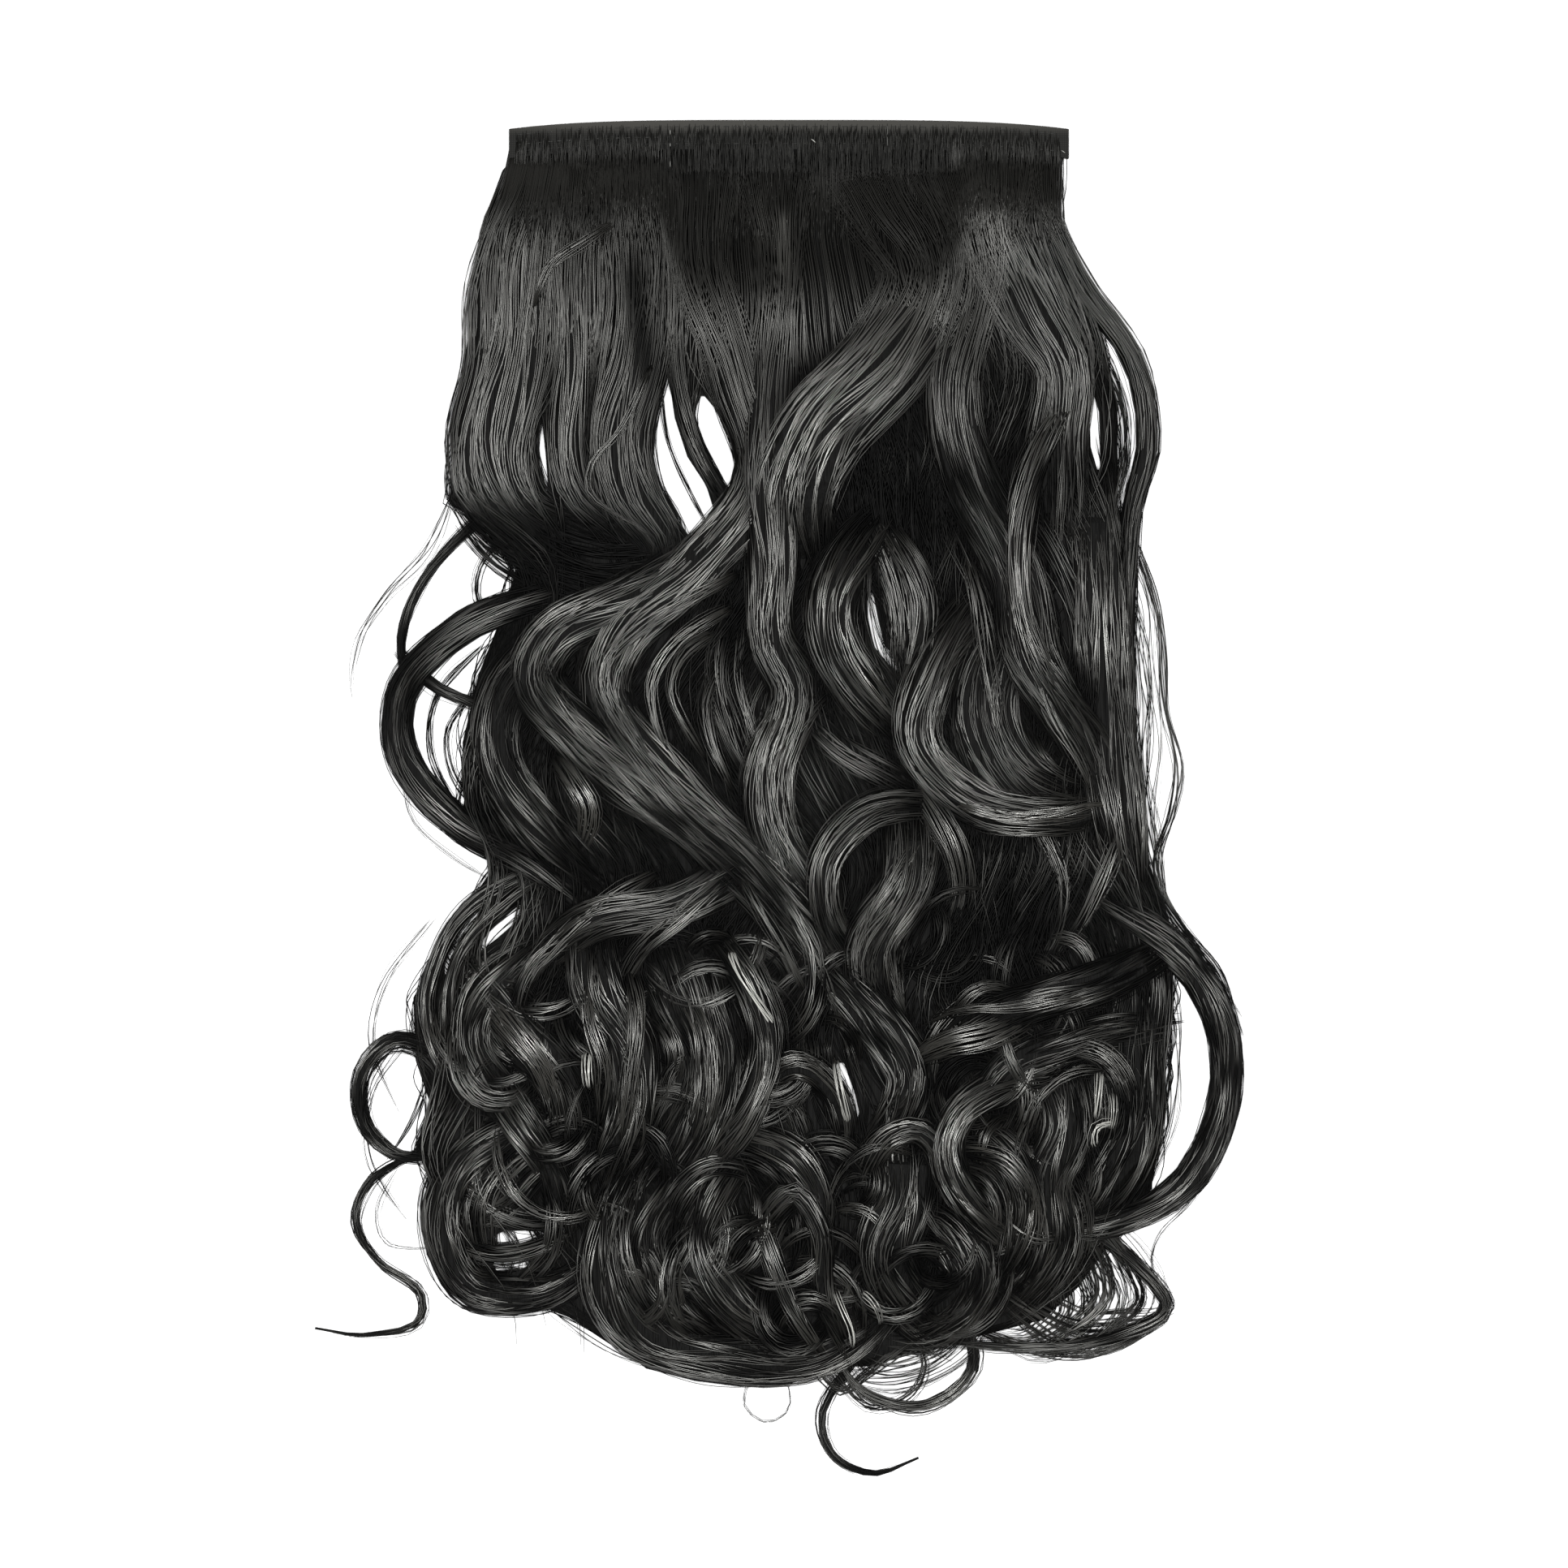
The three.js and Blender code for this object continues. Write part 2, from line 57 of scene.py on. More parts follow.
# A lock of strands: full width and thickness, its route as (across, down, up) at each bend, the span where
# it leaves the weft, which of its ends lie loose, how much lighter it is painted (painted sheen above zero,
# painted shade below it, and random tone in small curls), how densely it is filled, and how far from the
# weft it lies smooth. Lengths are in millimetres, in the frame of the part.
LOCK_FIELDS = "name wide thick route weft free lighter dense calm"
Lock = namedtuple("Lock", LOCK_FIELDS, defaults=(None, "", 0, 1, 100))
LOCKS = {
    "upper_left": (
        Lock("panel_outer", 39, 9, ((-120, 50, 8), (-124, 95, 10), (-132, 142, 9.5), (-121, 168, 7),
            (-86, 184, 6)), weft=(-124, -97), calm=160),
        Lock("panel_inner", 17, 9, ((-97, 50, 8), (-96, 95, 10.5), (-99, 140, 10), (-91, 164, 8.5),
            (-66, 180, 7)), weft=(-103, -80), calm=160),
        Lock("panel_mid", 30, 9, ((-66, 60, 8), (-69, 100, 10.5), (-76, 136, 10), (-71, 162, 9),
            (-57, 184, 9), (-62, 202, 8)), weft=(-86, -54), calm=150),
        Lock("divider", 7, 6, ((-50, 92, 10), (-47, 118, 11), (-40, 140, 10), (-22, 168, 9)),
            weft=(-57, -46)),
        Lock("centre_left", 24, 9, ((-38, 60, 9), (-22, 108, 12), (-12, 150, 12), (-40, 192, 13),
            (-74, 222, 14), (-82, 248, 13), (-56, 286, 13), (-12, 328, 12), (20, 368, 11), (42, 402, 8)),
            weft=(-56, -20)),
        Lock("left_band", 24, 9, ((-36, 186, 9), (-70, 206, 14), (-104, 222, 15), (-113, 242, 13),
            (-92, 268, 14), (-52, 300, 13), (-12, 338, 11), (14, 376, 9)), lighter=-0.08),
    ),
    "upper_right": (
        Lock("centre_front", 22, 9, ((-4, 50, 8), (-8, 110, 13), (-10, 150, 15), (-7, 190, 15),
            (-8, 224, 15), (2, 248, 12), (-8, 285, 13), (-2, 326, 12), (24, 372, 8)), weft=(-26, 14)),
        Lock("centre_sweep", 40, 9, ((62, 60, 10), (45, 98, 15.5), (14, 130, 17.5), (3, 162, 15.5),
            (8, 194, 9)), weft=(8, 66)),
        Lock("right_sweep", 28, 9, ((91, 40, 8), (108, 78, 12), (122, 104, 12.5), (118, 142, 11),
            (120, 188, 8)), weft=(74, 112)),
        Lock("right_edge", 9, 7, ((116, 34, 8), (131, 66, 10), (154, 100, 9), (160, 136, 8), (153, 168, 7),
            (150, 230, 7), (154, 300, 7), (161, 345, 7)), weft=(106, 122)),
        Lock("right_inner", 26, 9, ((84, 60, 9), (72, 110, 13), (82, 155, 11), (101, 195, 14),
            (108, 232, 14), (130, 268, 12), (146, 302, 8)), weft=(52, 92)),
        Lock("right_wisp", 12, 8, ((124, 118, 13), (108, 150, 15), (102, 190, 17), (112, 236, 16),
            (138, 276, 10))),
        Lock("right_body", 26, 9, ((134, 150, 6), (138, 200, 9), (140, 250, 9), (146, 300, 9),
            (152, 340, 7))),
    ),
    "middle": (
        Lock("oval_left", 22, 8, ((38, 172, 10), (19, 206, 16), (22, 232, 15), (48, 265, 10))),
        Lock("oval_right", 13, 8, ((44, 174, 9), (60, 206, 13), (54, 246, 9))),
        Lock("bowl", 20, 8, ((88, 200, 9), (63, 240, 14), (57, 270, 15), (84, 297, 14), (122, 303, 13),
            (140, 299, 9))),
        Lock("bowl_fill", 36, 9, ((104, 210, 9), (88, 255, 11), (102, 286, 11), (128, 298, 8))),
        Lock("centre_leaf", 22, 9, ((10, 246, 10), (-8, 276, 14), (-8, 306, 13), (14, 346, 10),
            (34, 386, 7))),
        Lock("oval_low", 16, 8, ((68, 298, 10), (37, 301, 14), (17, 322, 15), (18, 350, 13), (36, 376, 8))),
        Lock("low_fold", 26, 9, ((54, 300, 9), (52, 332, 14), (36, 364, 12), (46, 400, 8))),
    ),
    "lower": (
        Lock("left_low", 26, 9, ((-88, 348, 9), (-85, 380, 14), (-71, 408, 14), (-73, 438, 12),
            (-86, 470, 8))),
        Lock("left_low_outer", 22, 9, ((-142, 370, 8), (-120, 400, 13), (-101, 424, 11), (-98, 456, 8))),
        Lock("left_low_turn", 18, 9, ((-132, 416, 8), (-119, 440, 12), (-104, 464, 10), (-98, 490, 8))),
        Lock("mid_low", 16, 9, ((-34, 354, 9), (-18, 378, 15), (-10, 404, 16), (-19, 436, 14),
            (-42, 466, 8))),
        Lock("mid_low_fill", 36, 9, ((-56, 350, 8), (-44, 384, 12), (-36, 412, 12), (-44, 444, 11),
            (-62, 474, 8))),
        Lock("low_middle", 22, 9, ((14, 366, 8), (38, 392, 12), (54, 420, 11), (40, 452, 8))),
        Lock("low_cross", 18, 9, ((168, 362, 10), (144, 375, 15), (112, 384, 16), (84, 396, 15),
            (58, 416, 8)), lighter=-0.25),
        Lock("low_cross_under", 20, 9, ((162, 396, 8), (126, 404, 12), (98, 416, 12), (84, 438, 8))),
        Lock("right_low_outer", 30, 9, ((146, 336, 8), (155, 372, 8), (152, 410, 9), (152, 446, 10),
            (130, 482, 8))),
        Lock("right_low_fall", 24, 9, ((118, 410, 9), (124, 440, 13), (116, 466, 12), (119, 492, 9),
            (104, 518, 6))),
        Lock("bracket", 15, 9, ((102, 418, 9), (79, 432, 15), (71, 451, 16), (80, 475, 14), (106, 500, 8))),
        Lock("bracket_right", 20, 9, ((82, 444, 9), (100, 460, 14), (106, 481, 12), (94, 508, 8))),
        Lock("arch", 12, 9, ((32, 466, 8), (43, 447, 14), (58, 443, 15), (69, 457, 12), (66, 488, 8))),
        Lock("arch_fall", 28, 9, ((52, 446, 8), (50, 474, 11), (44, 500, 12), (60, 528, 6))),
        Lock("mid_arch", 13, 9, ((-16, 426, 8), (4, 414, 14), (20, 426, 12), (26, 452, 8))),
        Lock("mid_bend", 14, 9, ((-26, 444, 8), (2, 454, 13), (14, 474, 12), (10, 500, 8))),
    ),
    "left_edge": (
        Lock("left_body", 24, 9, ((-100, 222, 7), (-126, 248, 11), (-130, 276, 11), (-112, 308, 11),
            (-82, 336, 8))),
        Lock("left_sheen", 20, 9, ((-12, 320, 8), (-48, 342, 15), (-88, 350, 14), (-114, 370, 9))),
        Lock("left_loop", 14, 10, ((-106, 204, 11), (-146, 219, 11), (-172, 245, 8), (-173, 275, 6),
            (-149, 305, 7), (-112, 327, 9), (-86, 348, 8))),
        Lock("left_loop_thin", 4, 4, ((-130, 162, 7), (-162, 195, 6), (-173, 222, 6), (-171, 250, 7))),
        Lock("left_loop_tie", 5, 5, ((-172, 232, 7), (-156, 246, 7), (-130, 256, 7))),
        Lock("left_swell", 7, 8, ((-114, 327, 8), (-131, 334.5, 9), (-145, 346, 9), (-156, 364, 9),
            (-162, 388, 8), (-151, 420, 8), (-118, 444, 8))),
        Lock("left_swell_middle", 7, 8, ((-108, 329, 8), (-123.5, 339.5, 9), (-142, 357, 9), (-150, 374, 9),
            (-152, 400, 8))),
        Lock("left_swell_inner", 20, 9, ((-112, 362, 8), (-136, 382, 11), (-141, 404, 10), (-127, 428, 9),
            (-102, 442, 8))),
        Lock("ring", 7, 4.5, ((-146, 424, 7), (-160, 407, 6), (-177, 403, 5), (-191, 418, 4),
            (-190, 440, 3), (-176, 454, 3), (-150, 454, 5))),
        Lock("tail", 4.5, 3, ((-164, 452, 3), (-187, 466, 2), (-194, 484, 2), (-184, 502, 2),
            (-165, 516, 2), (-166, 529, 2), (-190, 535, 2), (-212, 532, 2)), free="root tip"),
        Lock("left_curl", 20, 12, ((-116, 440, 8), (-147, 459, 8), (-154, 488, 7), (-141, 513, 6),
            (-112, 516, 6), (-88, 502, 7))),
    ),
    "ends": (
        Lock("bottom_left", 24, 10, ((-68, 455, 9), (-80, 502, 11), (-68, 533, 9), (-28, 545, 6),
            (12, 544, 6), (36, 530, 7))),
        Lock("bottom_mid", 26, 9, ((-50, 460, 9), (-66, 492, 13), (-56, 520, 10), (-30, 537, 6))),
        Lock("bottom_mid_right", 24, 9, ((-28, 460, 9), (-40, 494, 13), (-24, 522, 10), (2, 538, 6))),
        Lock("bottom_ring", 10, 8, ((-12, 486, 11), (2, 470, 15), (14, 487, 15), (16, 518, 12),
            (28, 546, 6))),
        Lock("bottom_ring_left", 8, 8, ((-16, 476, 9), (-6, 504, 14), (3, 526, 12), (18, 548, 6))),
        Lock("bottom_right", 26, 9, ((68, 484, 9), (82, 504, 12), (76, 520, 9), (58, 532, 5))),
        Lock("right_loop", 14, 11, ((138, 340, 9), (176, 367, 10), (194, 400, 8), (193, 436, 7),
            (178, 467, 7), (146, 484, 8), (120, 488, 8))),
        Lock("corner", 6, 6, ((126, 482, 8), (156, 504, 5), (169, 523, 3), (148, 535, 3), (116, 540, 4),
            (70, 538, 4))),
        Lock("bottom_wisp", 6, 4, ((78, 524, 5), (82, 550, 3), (58, 567, 2.3), (34, 561, 2.3),
            (22, 546, 4))),
        Lock("end_curl", 4.5, 3, ((30, 544, 4), (15, 571, 2), (20, 589, 2), (38, 597, 2), (58, 590, 2)),
            free="tip"),
    ),
    "ribbons": (
        Lock("diagonal", 6, 3, ((-112, 234, 15), (-94, 264, 17), (-77, 282, 17), (-63, 296, 16),
            (-46, 310, 12)), lighter=0.12),
        Lock("diagonal_low", 4, 3, ((-86, 278, 15), (-72, 294, 16), (-58, 306, 15), (-44, 316, 12)),
            lighter=0.15),
        Lock("arc_outer", 7, 3, ((-26, 196, 14), (-66, 220, 18), (-81, 235, 18), (-81, 247, 17),
            (-71, 264, 17), (-60, 280, 16), (-46, 292, 12)), lighter=0.1),
        Lock("arc_middle", 5, 3, ((-28, 211, 14), (-50, 225, 17), (-61, 243, 17), (-59, 262, 16),
            (-50, 282, 12)), lighter=0.15),
        Lock("arc_inner", 5, 3, ((-34, 222, 12), (-47, 231, 15), (-52, 245, 16), (-47, 260, 15),
            (-38, 276, 11)), lighter=0.2),
        Lock("arc_short", 6, 3, ((-30, 236, 11), (-37, 252, 14), (-34, 270, 14), (-26, 290, 11)),
            lighter=0.15),
        Lock("left_rim", 5, 3, ((-102, 214, 14), (-108, 229, 17), (-104, 244, 16), (-88, 262, 15),
            (-72, 278, 12)), lighter=-0.05),
        Lock("crescent", 9, 4, ((-104, 274, 11), (-95, 288, 15), (-89, 299, 15), (-91, 314, 11)),
            lighter=0.2),
        Lock("body_rim", 6, 3, ((-128, 236, 9), (-134, 252, 12), (-129, 282, 13), (-118, 304, 12),
            (-96, 324, 10)), lighter=0.1),
        Lock("left_wing", 10, 4, ((-24, 326, 12), (-48, 346, 17), (-66, 362, 16), (-78, 384, 11)),
            lighter=0.2),
        Lock("left_wing_low", 8, 4, ((-62, 330, 12), (-90, 348, 16), (-106, 362, 14), (-124, 382, 11)),
            lighter=0.12),
        Lock("streak_left", 5, 3, ((-22, 328, 13), (-14, 342, 16), (-2, 362, 15), (8, 382, 11)),
            lighter=0.2),
        Lock("streak_right", 5, 3, ((-4, 334, 13), (6, 352, 15), (16, 374, 14), (24, 396, 10)),
            lighter=0.2),
        Lock("bowl_inner", 6, 3, ((86, 218, 12), (70, 238, 15), (62, 258, 17), (66, 276, 17), (84, 290, 15),
            (108, 294, 12)), lighter=0.05),
        Lock("bowl_rim", 5, 3, ((76, 297, 16), (96, 303, 18), (120, 301, 17), (134, 298, 15),
            (144, 298, 11)), lighter=0.3),
        Lock("bowl_spot", 8, 3, ((80, 190, 12), (86, 212, 15), (90, 238, 15), (96, 266, 13), (110, 288, 9)),
            lighter=0.2),
        Lock("right_strand", 5, 3, ((101, 176, 15), (102, 206, 18), (110, 227, 18), (123, 245, 17),
            (138, 263, 14), (148, 280, 10)), lighter=0.15),
        Lock("right_strand_low", 5, 3, ((108, 232, 15), (116, 256, 16), (128, 276, 14), (136, 294, 11)),
            lighter=0.1),
        Lock("triangle", 12, 4, ((58, 290, 11), (68, 304, 14), (75, 318, 14), (78, 336, 11), (72, 356, 8)),
            lighter=0.2),
        Lock("turn_under", 30, 5, ((-132, 172, 8), (-112, 186, 9), (-82, 195, 10), (-46, 190, 9)),
            lighter=-0.25),
        Lock("arc_deep", 18, 4, ((-24, 212, 9), (-30, 238, 11), (-24, 262, 12), (-14, 288, 10)),
            lighter=0.05),
        Lock("hollow", 44, 4, ((36, 118, 9), (46, 148, 10), (50, 176, 10), (62, 206, 9)), lighter=-0.22),
        Lock("oval_inside", 16, 3, ((38, 172, 10), (48, 196, 11), (52, 218, 11), (52, 244, 9)),
            lighter=0.3),
        Lock("hem_fill", 46, 4, ((112, 292, 9), (114, 318, 11), (104, 344, 11), (92, 376, 7)),
            lighter=-0.12),
        Lock("curl_fill_over", 10, 4, ((-146, 468, 9), (-126, 480, 10), (-108, 483, 10), (-94, 474, 8))),
        Lock("under_oval", 14, 5, ((6, 256, 9), (22, 272, 11), (42, 284, 11), (62, 294, 8))),
        Lock("curl_fill", 16, 5, ((-96, 440, 9), (-120, 452, 11), (-137, 474, 10), (-136, 498, 8)),
            lighter=-0.05),
        Lock("curl_fill_inner", 12, 4, ((-94, 452, 9), (-112, 462, 11), (-124, 476, 10), (-142, 484, 8)),
            lighter=0.05),
        Lock("curl_fill_low", 9, 4, ((-146, 494, 8), (-132, 498, 10), (-114, 496, 10), (-98, 488, 8)),
            lighter=-0.05),
        Lock("curl_fill_side", 10, 4, ((-104, 470, 9), (-104, 486, 11), (-108, 500, 10), (-120, 512, 8))),
        Lock("low_fall_left", 7, 3, ((58, 312, 13), (46, 332, 17), (36, 352, 16), (40, 380, 11)),
            lighter=0.2),
        Lock("low_fall_right", 6, 3, ((64, 318, 13), (58, 338, 16), (44, 362, 14), (52, 392, 10)),
            lighter=0.1),
        Lock("right_hem", 7, 3, ((104, 296, 9), (114, 312, 12), (122, 332, 12), (120, 354, 11),
            (108, 376, 8)), lighter=0.12),
        Lock("right_hem_outer", 7, 3, ((152, 300, 8), (146, 314, 11), (140, 330, 12), (130, 350, 11),
            (116, 372, 8)), lighter=0.12),
        Lock("cross_streak", 5, 3, ((146, 382, 14), (122, 384, 21.5), (100, 388, 21.5), (74, 390, 17),
            (60, 396, 11)), lighter=0.1),
        Lock("cross_sheen", 11, 4, ((106, 392, 14), (88, 399, 21), (70, 404, 20), (56, 412, 11)),
            lighter=0.15),
        Lock("curl_back", 7, 3, ((112, 420, 12), (92, 426, 18), (76, 437, 20), (71, 450, 20.5),
            (76, 467, 20), (88, 482, 17), (106, 492, 11)), lighter=0.1),
        Lock("curl_turn", 7, 3, ((78, 452, 14), (96, 455, 19.5), (107, 470, 19), (106, 486, 12)),
            lighter=0.05),
        Lock("left_fall", 8, 3, ((-72, 372, 14), (-68, 396, 20), (-70, 420, 20), (-74, 446, 14)),
            lighter=0.08),
        Lock("left_fall_outer", 7, 3, ((-90, 374, 14), (-88, 394, 20), (-82, 414, 20), (-84, 438, 13)),
            lighter=0.02),
        Lock("left_patch", 10, 4, ((-132, 388, 13), (-121, 400, 18.5), (-110, 414, 18), (-104, 432, 12)),
            lighter=0.25),
        Lock("low_spot", 12, 4, ((-46, 384, 13), (-38, 400, 18), (-36, 424, 18), (-42, 446, 13)),
            lighter=0.04),
        Lock("low_edge", 4, 3, ((-10, 396, 17), (-9, 412, 18), (-16, 436, 16), (-28, 454, 14),
            (-44, 470, 10)), lighter=0.25),
        Lock("low_arc", 5, 3, ((-14, 420, 13), (-3, 411, 17), (8, 411, 17), (18, 420, 13)), lighter=0.2),
        Lock("end_turn", 6, 3, ((-84, 476, 12), (-70, 482, 15), (-65, 500, 15), (-68, 520, 11)),
            lighter=0.15),
        Lock("end_wave", 6, 3, ((-52, 478, 12), (-44, 492, 16), (-50, 508, 15), (-46, 526, 10)),
            lighter=0.1),
    ),
    "wisps": (
        Lock("left_hang", 4, 2, ((-150, 158, 8), (-162, 185, 6), (-180, 205, 4), (-193, 225, 3),
            (-196, 245, 2), (-192, 260, 2)), free="tip", dense=0.5),
        Lock("left_hang_inner", 3, 2, ((-122, 176, 8), (-137, 190, 6), (-139, 206, 5), (-128, 220, 7))),
        Lock("loop_strand_outer", 3, 2, ((-138, 228, 8), (-158, 250, 4), (-160, 276, 3), (-144, 304, 6))),
        Lock("loop_strand_inner", 3, 2, ((-136, 244, 8), (-152, 264, 4), (-150, 284, 3), (-134, 304, 6))),
        Lock("crossing_strand", 4, 2, ((-80, 40, 16), (-92, 48, 18), (-106, 58, 18), (-113, 74, 16)),
            lighter=0.08),
        Lock("bright_strand", 3, 2, ((-62, 103, 15), (-75, 130, 16), (-88, 146, 16), (-89, 158, 14),
            (-78, 168, 13), (-64, 176, 12), (-57, 190, 11))),
        Lock("gap_strand", 2, 2, ((-57, 112, 12), (-54, 135, 8), (-46, 155, 7), (-35, 176, 8))),
        Lock("gap_strand_right", 2, 2, ((-40, 112, 12), (-42, 128, 8), (-32, 150, 8), (-22, 166, 9))),
        Lock("right_hang", 4, 2, ((155, 180, 8), (165, 215, 6), (168, 255, 5), (174, 282, 4), (171, 302, 4),
            (164, 322, 6), (168, 340, 7), (182, 362, 7), (199, 388, 6))),
        Lock("right_hang_inner", 4, 2, ((150, 300, 8), (160, 330, 7), (176, 354, 7), (192, 374, 6),
            (201, 396, 5))),
        Lock("right_gap_strand", 5, 2, ((136, 92, 12), (147, 116, 8), (149, 142, 8), (145, 166, 8))),
        Lock("swell_strand", 7, 2, ((-104, 334, 9), (-124, 348, 8), (-136, 360, 7), (-146, 382, 8)),
            dense=0.5),
        Lock("ring_strand", 3, 2, ((-152, 428, 8), (-164, 410, 6), (-178, 407, 5), (-188, 420, 4),
            (-187, 440, 3), (-172, 454, 4))),
        Lock("ring_tie", 2, 2, ((-158, 398, 7), (-161, 418, 4), (-168, 438, 3), (-178, 454, 3))),
        Lock("curl_arc", 4, 2, ((-166, 450, 5), (-154, 440, 8), (-141, 441, 9), (-128, 450, 10))),
        Lock("small_arc", 3, 2, ((-112, 420, 15), (-102, 414, 17), (-89, 413, 17), (-82, 422, 15))),
        # A painted highlight: a short streak of pale strands that stands in for light caught in full
        Lock("pale_streak", 3, 2, ((-25, 366, 20), (-21.5, 374, 22.5), (-15.5, 384, 22.5), (-8, 395, 19)),
            lighter=GLINT),
        Lock("corner_fall", 9, 3, ((126, 484, 9), (138, 502, 6), (140, 518, 4), (122, 534, 4))),
        Lock("corner_fall_outer", 6, 3, ((138, 486, 8), (152, 504, 5), (157, 520, 3), (140, 534, 3))),
        Lock("corner_wisp", 2, 2, ((188, 454, 7), (180, 475, 5), (166, 490, 4), (162, 501, 3),
            (166, 514, 2), (177, 517, 2)), free="tip", dense=0.5),
        Lock("bottom_arc", 4, 2, ((18, 546, 6), (36, 567, 2), (55, 561, 2), (61, 548, 3), (56, 536, 6))),
        Lock("bottom_arc_inner", 5, 2, ((10, 546, 6), (24, 560, 3), (34, 553, 3), (62, 532, 6))),
        Lock("bottom_arc_right", 4, 2, ((88, 534, 6), (116, 543, 2), (142, 542, 2), (164, 532, 2))),
        Lock("slit_edge_left", 3, 2, ((35, 190, 14), (34.5, 206, 14), (36, 218, 13), (40, 231, 12),
            (50, 244, 10)), dense=0.7),
        Lock("slit_edge_right", 3, 2, ((39, 188, 13), (40.5, 206, 11), (43, 221, 10), (50, 232, 10),
            (57, 244, 9)), dense=0.7),
        Lock("slit_cross", 2, 1, ((34, 192, 12), (38, 212, 8), (43, 226, 8), (55, 244, 9)), dense=0.6),
        Lock("slit_cross_low", 2, 1, ((44, 216, 9), (42, 228, 7), (46, 240, 8)), dense=0.6),
        Lock("low_slit_left", 4, 2, ((16, 404, 13), (18, 418, 10), (21, 431, 9), (27, 446, 9)), dense=0.6),
        Lock("low_slit_right", 4, 2, ((26, 404, 12), (30.5, 418, 10), (34, 431, 9), (33, 446, 9)),
            dense=0.6),
        Lock("low_slit_cross", 3, 1, ((20, 410, 12), (26, 422, 7), (27, 434, 7), (25, 446, 9)), dense=0.2),
        Lock("curl_cross", 4, 1, ((-134, 478, 10), (-125, 490, 6), (-122, 501, 6), (-128, 514, 8)),
            dense=0.6),
        Lock("curl_cross_right", 4, 1, ((-108, 478, 10), (-111, 490, 6), (-116, 501, 6), (-112, 514, 8)),
            dense=0.6),
        Lock("swell_cross", 2, 1, ((-118, 330, 9), (-138, 346, 7), (-150, 362, 7), (-158, 384, 8)),
            dense=0.4),
        Lock("right_slit_strand", 5, 2, ((126, 88, 12), (138, 112, 9), (141, 134, 8), (140, 160, 8)),
            dense=0.4),
        Lock("right_slit_outer", 6, 2, ((130, 84, 12), (145, 112, 8), (149, 138, 7), (146, 166, 8)),
            dense=0.4),
        Lock("loop_top_strand", 6, 2, ((150, 326, 8), (166, 348, 8), (184, 366, 8), (198, 392, 6)),
            dense=0.5),
        Lock("loop_gap_inner", 8, 3, ((156, 350, 8), (168, 382, 6), (171, 412, 5), (168, 442, 5),
            (154, 476, 7)), dense=0.4),
        Lock("side_strand", 7, 2, ((148, 182, 8), (158, 208, 6), (160, 240, 6), (163, 272, 6),
            (160, 304, 6), (166, 338, 7)), dense=0.35),
        Lock("side_strand_inner", 7, 2, ((146, 196, 8), (155, 220, 7), (159, 250, 6), (157, 280, 6),
            (163, 312, 6), (168, 344, 7)), dense=0.4),
        Lock("corner_veil", 22, 3, ((116, 480, 9), (136, 502, 5), (144, 520, 3), (124, 538, 3)), dense=0.4),
        Lock("corner_veil_outer", 14, 3, ((132, 480, 8), (153, 502, 4), (161, 520, 3), (140, 537, 3)),
            dense=0.25),
        Lock("corner_hem", 18, 3, ((92, 508, 9), (110, 523, 6), (132, 533, 3), (160, 529, 2)), dense=0.7),
        Lock("corner_fill", 22, 3, ((112, 492, 9), (124, 510, 6), (126, 526, 4), (108, 538, 3)), dense=0.6),
        Lock("end_veil", 18, 3, ((84, 516, 8), (76, 536, 5), (58, 548, 3), (34, 552, 4)), dense=0.4),
        Lock("end_veil_inner", 14, 3, ((24, 530, 8), (40, 546, 4), (60, 544, 3), (80, 530, 6)), dense=0.35),
        Lock("bottom_veil", 10, 2, ((-110, 512, 7), (-98, 524, 5), (-80, 536, 4), (-56, 548, 3)),
            dense=0.35),
        Lock("left_stray", 3, 1, ((-160, 350, 6), (-180, 376, 2), (-186, 404, 2), (-176, 432, 3)),
            dense=0.5),
        Lock("left_stray_low", 3, 1, ((-164, 396, 6), (-186, 424, 2), (-188, 456, 2), (-172, 482, 3)),
            dense=0.5),
        Lock("faint_loop", 1, 1, ((-14, 548, 4), (-20, 566, 1.5), (-10, 574, 1.5), (0, 568, 1.5),
            (-2, 552, 3)), dense=0.3),
        Lock("loop_stray", 2, 1, ((-172, 286, 6), (-168, 304, 3), (-151, 320, 3), (-132, 332, 7)),
            dense=0.3),
        Lock("ring_inner_stray", 2, 1, ((-176, 462, 3), (-184, 480, 2), (-180, 494, 2), (-160, 496, 5)),
            dense=0.3),
        # Flecks, painted highlights: short pale strands that stand in for light caught in full
        Lock("fleck_right", 3, 2, ((138, 420, 19), (137.5, 427, 22), (137, 434, 19)), lighter=GLINT),
        Lock("fleck_right_outer", 2.5, 2, ((144.5, 429, 19), (144.5, 434, 21), (144, 439, 19)),
            lighter=GLINT),
        Lock("fleck_right_low", 3, 2, ((135.5, 448, 18), (136.5, 441, 21), (142, 439, 18)), lighter=GLINT),
        Lock("fleck_bottom", 2.5, 2, ((22, 517, 18), (24.5, 523, 20.5), (27.5, 530, 20.5), (28.5, 536, 17)),
            lighter=GLINT),
        Lock("fleck_bottom_right", 2.5, 2, ((35, 517, 17), (38, 520.5, 19.5), (40, 526, 17)),
            lighter=GLINT),
        Lock("fleck_slit", 3, 2, ((21.5, 414, 17), (23, 424, 19.5), (25.5, 436, 17)), lighter=GLINT),
        Lock("fleck_left", 3.5, 2, ((-89.5, 411, 20), (-89.5, 416, 22), (-89, 421, 20)), lighter=GLINT),
    ),
}

